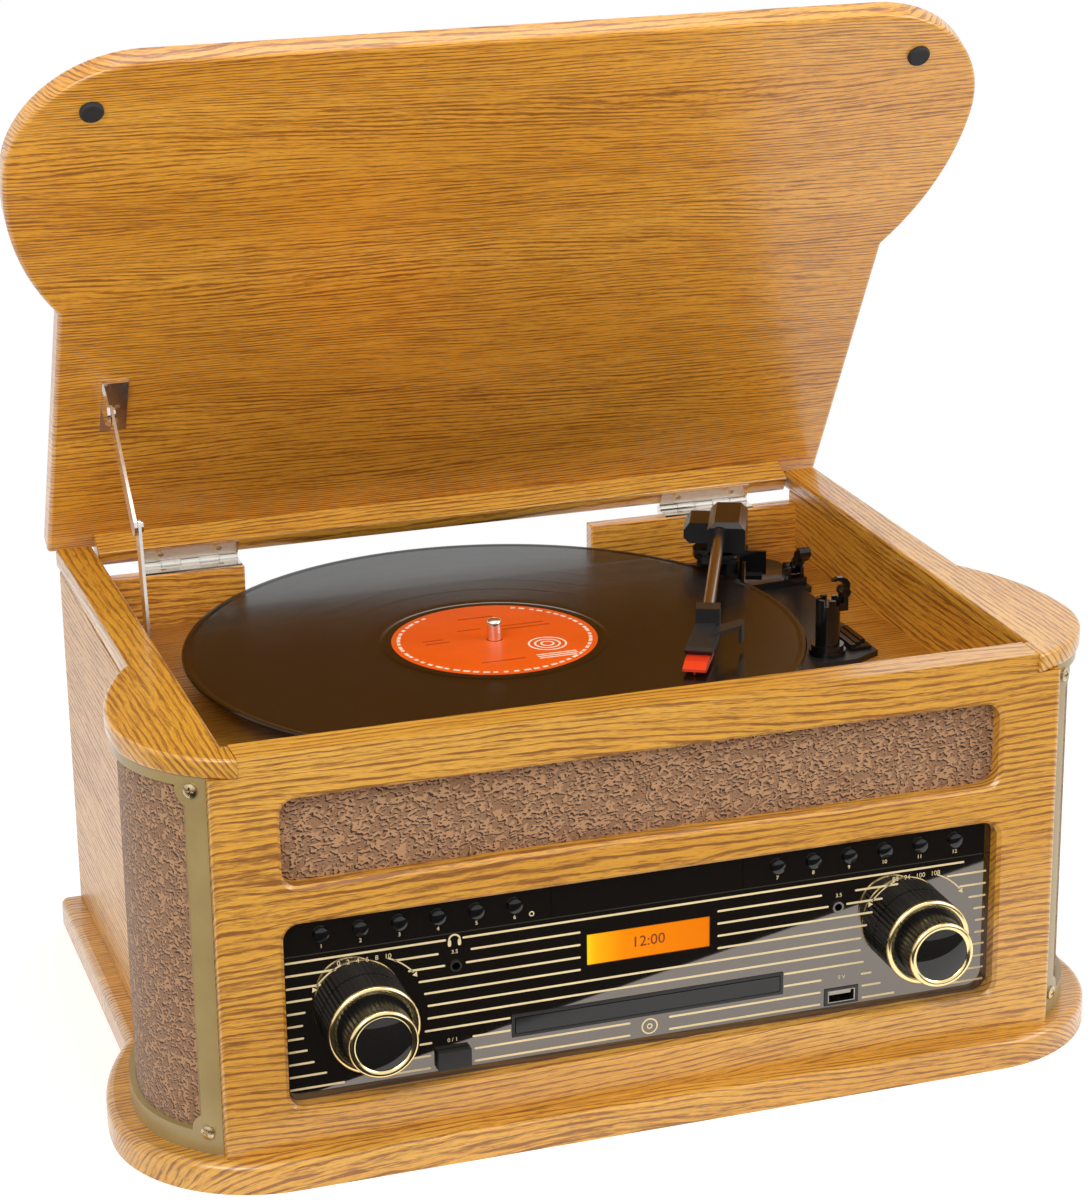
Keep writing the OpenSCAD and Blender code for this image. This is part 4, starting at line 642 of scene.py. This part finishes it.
# each line's spans, from the top line down; they stop beside knobs, sockets, display, tray and power button
lines = {
    0: [(-E, -94.7), (-86.2, 155.2)],
    1: [(-E, -144.7), (-117.6, -98.2), (-82.6, -32.4), (33.9, 84.1), (101.4, 122.1), (147.5, E)],
    2: [(-E, -151.7), (-111.4, -95.4), (-84.9, -32.4), (33.9, 87.5), (97.2, 114.4), (153.9, E)],
    3: [(-E, -155.9), (-106.8, -32.4), (34.0, 109.5), (158.9, E)],
    4: [(-E, -159.1), (-104.4, -32.4), (34.0, 106.8), (161.6, E)],
    5: [(-E, -160.4), (-103.0, 104.0), (162.6, E)],
    6: [(-E, -160.2), (-103.2, 104.0), (162.4, E)],
    7: [(-E, -158.8), (-104.6, -65.6), (66.7, 105.6), (160.4, E)],
    8: [(-E, -155.9), (-107.2, -102.2), (-82.6, -65.6), (66.7, 84.6), (105.2, 109.6), (157.4, E)],
    9: [(-E, -150.5), (-112.1, -102.8), (-81.8, -9.0), (10.6, 84.2), (105.7, 114.4), (151.6, E)],
    10: [(-E, -142.5), (-120.0, -103.0), (-82.0, -9.0), (10.6, 84.2), (105.8, 121.5), (143.0, E)],
}
bars = []
for k, spans in lines.items():
    z = LINE_TOP - LINE_PITCH * k
    bars += [capsule_outline(a, z, b, z, LINE_W) for a, b in spans]
plates("fascia_lines", bars, FACE, PRINT, "gold_print", "cabinet")


def arc_arrow(cx, cz, r, a0, a1, width, head):
    """A curved line and the arrowhead at its far end, as two outlines."""
    n = 22

    def at(reach, t):
        return cx + reach * math.cos(t), cz + reach * math.sin(t)

    turns = [math.radians(a0 + (a1 - a0) * k / n) for k in range(n)]
    end = math.radians(a1)
    beyond = end + math.copysign(head * 1.7 / r, a1 - a0)
    return [[at(r + width / 2, t) for t in turns] + [at(r - width / 2, t) for t in reversed(turns)],
            [at(r + head, end), at(r, beyond), at(r - head, end)]]


arcs = []
for cx in (-KNOB_X, KNOB_X):
    for start, end in ((68, 37), (112, 143)):
        arcs += arc_arrow(cx, KNOB_Z, 28.2, start, end, 0.6, 1.3)
plates("turn_arrows", arcs, FACE, PRINT, "gold_print", "cabinet")

PHONES_X = -90.4
# earphone sign over the left socket
marks = ring_outlines(PHONES_X, 99.4, 2.5, 0.8, 16, math.pi)
marks += [capsule_outline(PHONES_X + s * 2.3, 97.2, PHONES_X + s * 2.3, 99.0, 1.5) for s in (-1, 1)]
# plain disc sign under the tray, and the lamp ring beside the sixth button
marks += ring_outlines(0.8, 42.0, 3.6, 0.7) + ring_outlines(0.8, 42.0, 1.1, 0.6, 16)
marks += ring_outlines(-54.6, 106.4, 1.0, 0.45, 16)
plates("fascia_signs", marks, FACE, PRINT, "gold_print", "cabinet")

SMALL = 1.9                          # height of the numbers by buttons and sockets
words = [("0   2   4   6   8   10", -KNOB_X, 96.4, 2.3), ("88   94   100   108", KNOB_X, 96.4, 2.3),
         ("3.5", PHONES_X, 93.7, SMALL), ("3.5", 92.9, 92.6, SMALL), ("0 / 1", -92.3, 51.0, SMALL),
         ("5 V", 95.0, 51.0, SMALL)]
BUTTON_IN, BUTTON_PITCH = 62.5, 17.6
for i in range(6):
    words.append((str(i + 1), -BUTTON_IN - (5 - i) * BUTTON_PITCH, 105.9, SMALL))
    words.append((str(i + 7), BUTTON_IN + i * BUTTON_PITCH, 105.9, SMALL))
joined("fascia_numbers", [figures(f"num_{i}", t, x, z, s, FACE, "gold_print", "cabinet")
                          for i, (t, x, z, s) in enumerate(words)])
figures("display_digits", "12:00", 0.5, 84.6, 5.2, FACE + 0.35, "digits", "cabinet", depth=0.03)

# ---------------------------------------------------------------- knob rings
RINGS = {
    "wide": [(20.30, 5.4), (20.66, 5.9), (20.68, 6.6), (20.4, 7.2), (19.8, 7.6), (19.0, 7.75),
             (18.2, 7.6), (17.5, 7.25), (17.1, 6.9), (17.1, 5.4)],
    "narrow": [(15.30, 19.9), (15.68, 20.4), (15.70, 21.1), (15.4, 21.7), (14.9, 22.1), (14.2, 22.25),
               (13.5, 22.1), (12.9, 21.8), (12.55, 21.45), (12.5, 19.9)],
}
for side, cx in (("volume", -KNOB_X), ("tuning", KNOB_X)):
    for size, profile in RINGS.items():
        lathe(f"{side}_ring_{size}", P(cx, 0, KNOB_Z), (0, -1, 0), profile, "knob_gold", side + "_knob")


# ---------------------------------------------------------------- boards with rounded edges
def softened(node, body, radius, steps, wanted=None):
    """A copy of a board's solid with rounded edges, shown in its place. wanted picks the edges by their middle,
    in mm."""
    src = NODES[node]
    bm = bmesh.new()
    bm.from_mesh(src.data)
    bm.transform(src.matrix_world)
    bmesh.ops.remove_doubles(bm, verts=bm.verts, dist=2e-6)
    bmesh.ops.dissolve_limit(bm, angle_limit=math.radians(0.6), verts=bm.verts, edges=bm.edges)
    edges = []
    for e in bm.edges:
        if len(e.link_faces) != 2 or e.calc_face_angle(0.0) < math.radians(50):
            continue
        mid = (e.verts[0].co + e.verts[1].co) / 2 / MM
        if wanted is None or wanted(mid.x, mid.y - Y0, mid.z):
            edges.append(e)
    made = set(bmesh.ops.bevel(bm, geom=edges, offset=radius * MM, offset_type="OFFSET", segments=steps,
                               profile=0.5, affect="EDGES", clamp_overlap=True)["faces"])
    for f in bm.faces:
        flat = max(abs(c) for c in f.normal) > 0.9999 or f.calc_area() > 0.004
        f.smooth = f in made or not flat
    me = bpy.data.meshes.new(node + "_soft")
    bm.to_mesh(me)
    bm.free()
    me.materials.append(M[USE[node]])
    o = add_object(node + "_soft", me)
    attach(o, body)
    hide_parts(node)


# the plinth's upper edge but for its back, the side panels' outer and top edges, the back panel's top
softened("base_plinth", "cabinet", 3.5, 5, lambda x, d, z: z > 13.9 and d < 300)
for side in ("left", "right"):
    softened(side + "_top_cap", "cabinet", 1.5, 4)
    softened(side + "_side_panel", "cabinet", 0.6, 2, lambda x, d, z: abs(x) > 206.9 or z > 200.9)
softened("lid_board", "lid", 2.0, 5)
softened("lid_rail", "lid", 0.7, 2)
softened("back_panel", "cabinet", 0.7, 2, lambda x, d, z: z > 150)

# ---------------------------------------------------------------- frame of the disc slot
X0, X1, Z0, Z1 = -63.3, 64.4, 48.9, 57.1      # just outside the tray's front
RIM = 1.4
plates("tray_bezel", [[(X0 - RIM, Z0 - RIM), (X1 + RIM, Z0 - RIM), (X1, Z0), (X0, Z0)],
                      [(X0 - RIM, Z1 + RIM), (X1 + RIM, Z1 + RIM), (X1, Z1), (X0, Z1)],
                      [(X0 - RIM, Z0 - RIM), (X0, Z0), (X0, Z1), (X0 - RIM, Z1 + RIM)],
                      [(X1 + RIM, Z0 - RIM), (X1, Z0), (X1, Z1), (X1 + RIM, Z1 + RIM)]],
       FACE, 0.45, "black_satin", "cabinet")

# ---------------------------------------------------------------- record label
LABEL = P(RECORD_X, RECORD_D, LABEL_Z)
LABEL_T = 0.14                       # the label's thickness
M["label"] = label_paper("record_label", LABEL.x, LABEL.y, lin(230, 92, 12))
M["label_print"] = label_paper("label_print", LABEL.x, LABEL.y, lin(240, 226, 206))
M["label_dark"] = label_paper("label_dark", LABEL.x, LABEL.y, lin(150, 52, 14))
lathe("record_label", LABEL, (0, 0, 1),
      [(3.9, 0.0), (3.9, 0.10), (4.3, LABEL_T), (49.6, LABEL_T), (50.0, 0.10), (50.0, 0.0)],
      "label", "platter", n=128)


def on_label(x, z, depth):
    """Label print: x and z in mm from the label's centre, z away from the viewer."""
    return LABEL + Vector((x * MM, z * MM, (LABEL_T - depth) * MM))


def row(x0, x1, top):
    """A printed row in place of a line of small text."""
    return [(x0, top), (x1, top), (x1, top - 1.0), (x0, top - 1.0)]


dashes = []
for start in range(0, 360, 6):
    if 62 < start < 118:             # the gap at the label's far side
        continue
    a, b = math.radians(start), math.radians(start + rng.uniform(2.5, 5.2))
    steps = [a + (b - a) * i / 3 for i in range(4)]
    dashes.append([(47.4 * math.cos(t), 47.4 * math.sin(t)) for t in steps] +
                  [(45.7 * math.cos(t), 45.7 * math.sin(t)) for t in steps[::-1]])
plates("label_ring", dashes, 0.0, 0.03, "label_print", "platter", to_point=on_label)
sign = [q for r in (3.0, 6.0, 9.0) for q in ring_outlines(22, -15, r, 1.0, 32)]
sign += [row(12, 32, -28.4 - 2.4 * i) for i in range(3)]
plates("label_sign", sign, 0.0, 0.03, "label_print", "platter", to_point=on_label)
rows = [row(*span) for span in ((-9, 9, 33), (-14, -2, 17), (2, 30, 17), (6, 32, 12.5), (-34, -24, 8),
                                (-34, -22, 3.5), (-16, 6, -30))]
plates("label_rows", rows, 0.0, 0.02, "label_dark", "platter", to_point=on_label)
lathe("spindle_cap", LABEL, (0, 0, 1),
      [(3.58, 0.3), (3.58, 8.6), (3.4, 9.5), (2.8, 10.2), (1.7, 10.6), (0.05, 10.7), (0.05, 0.3)],
      "chrome", "platter", n=48)

# ---------------------------------------------------------------- stage, light, camera
# the floor is pale and takes a soft shadow near the object, and is plain white to the eye farther out
floor_me = bpy.data.meshes.new("floor")
floor_me.from_pydata([(-9, -9, 0), (9, -9, 0), (9, 9, 0), (-9, 9, 0)], [], [(0, 1, 2, 3)])
floor = add_object("floor", floor_me)
floor_mat = bpy.data.materials.new("floor_white")
floor_mat.use_nodes = True
fl = Nodes(floor_mat.node_tree)
fx, fy, _ = fl.split(fl.coords())
far = fl.ramp(fl.mul(fl.length(fx, fy), 0.5), [(0.16, 0.0), (0.34, 1.0)])
seen = fl.seen()
mottle = fl.mix(fl.mul(fl.noise(fl.coords(), 3.0), 0.02), (0.86, 0.86, 0.86), (0.84, 0.84, 0.84))
matt = fl.node("ShaderNodeBsdfDiffuse")
fl.link(mottle, matt.inputs[0])
near_floor = fl.node("ShaderNodeAddShader")
fl.link(matt.outputs[0], near_floor.inputs[0])
fl.link(fl.emission(fl.mul(seen, 0.34)), near_floor.inputs[1])
both = fl.blend(fl.mul(far, seen), near_floor.outputs[0], fl.emission())
fl.link(both, fl.node("ShaderNodeOutputMaterial").inputs[0])
floor_me.materials.append(floor_mat)

# a dark studio card on the floor, seen only by reflection in the gloss fascia, from its near edge line outward
card_me = bpy.data.meshes.new("dark_card")
A, B = Vector((-0.1394, -0.1985)), Vector((0.2618, -0.3316))
run = (B - A).normalized()
outward = Vector((run.y, -run.x)) * 3
A, B = A - run * 2.5, B + run * 2.5
card_me.from_pydata([(*q, 0.004) for q in (A, B, B + outward, A + outward)], [], [(0, 1, 2, 3)])
card = add_object("dark_card", card_me)
card.visible_camera = card.visible_diffuse = card.visible_shadow = card.visible_transmission = False
card_me.materials.append(plastic("card_black", lin(22, 20, 19), 0.9, spec=0.1))

# a soft pale surround that lights the object, plain white to the eye
world = bpy.data.worlds.new("studio")
bpy.context.scene.world = world
world.use_nodes = True
sky = Nodes(world.node_tree)
backgrounds = []
for color, strength in (((0.93, 0.96, 1.0, 1), 0.50), ((1, 1, 1, 1), 1.0)):
    bg = sky.node("ShaderNodeBackground")
    bg.inputs[0].default_value = color
    bg.inputs[1].default_value = strength
    backgrounds.append(bg.outputs[0])
sky.link(sky.blend(sky.seen(), *backgrounds), sky.node("ShaderNodeOutputWorld").inputs[0])


def soft_light(name, place, aim, size, power, color=(1, 1, 1)):
    """An area light of size in m and power in W, turned towards aim."""
    la = bpy.data.lights.new(name, "AREA")
    la.shape = "RECTANGLE"
    la.size, la.size_y = size
    la.energy = power
    la.color = color
    o = add_object(name, la)
    o.location = place
    o.rotation_euler = (Vector(aim) - Vector(place)).to_track_quat("-Z", "Y").to_euler()


soft_light("key", (-1.3, -1.5, 1.7), (0, 0, 0.15), (1.4, 1.1), 32, (1, 0.98, 0.95))
soft_light("fill", (1.7, -1.1, 1.2), (0, 0, 0.12), (1.2, 1.2), 20)
soft_light("top", (0.1, 0.0, 2.2), (0, 0, 0.2), (1.6, 1.4), 14)

# the camera solved from the photograph's edges
cam_data = bpy.data.cameras.new("photo_camera")
cam = add_object("photo_camera", cam_data)
bpy.context.scene.camera = cam
right = Vector((0.9491339, -0.3146241, -0.0125081))
down = Vector((-0.1131212, -0.3036448, -0.9460462))
look = Vector((0.2938510, 0.8993395, -0.3237902))
rot = Matrix((right, -down, -look)).transposed()
cam.matrix_world = Matrix.Translation((-0.44197, -1.34868, 0.68798)) @ rot.to_4x4()
cam_data.sensor_width = 36
cam_data.sensor_fit = "AUTO"
cam_data.lens = 94.471
cam_data.clip_end = 50
cam_data.clip_start = 0.01

bpy.context.scene.view_settings.view_transform = "Standard"
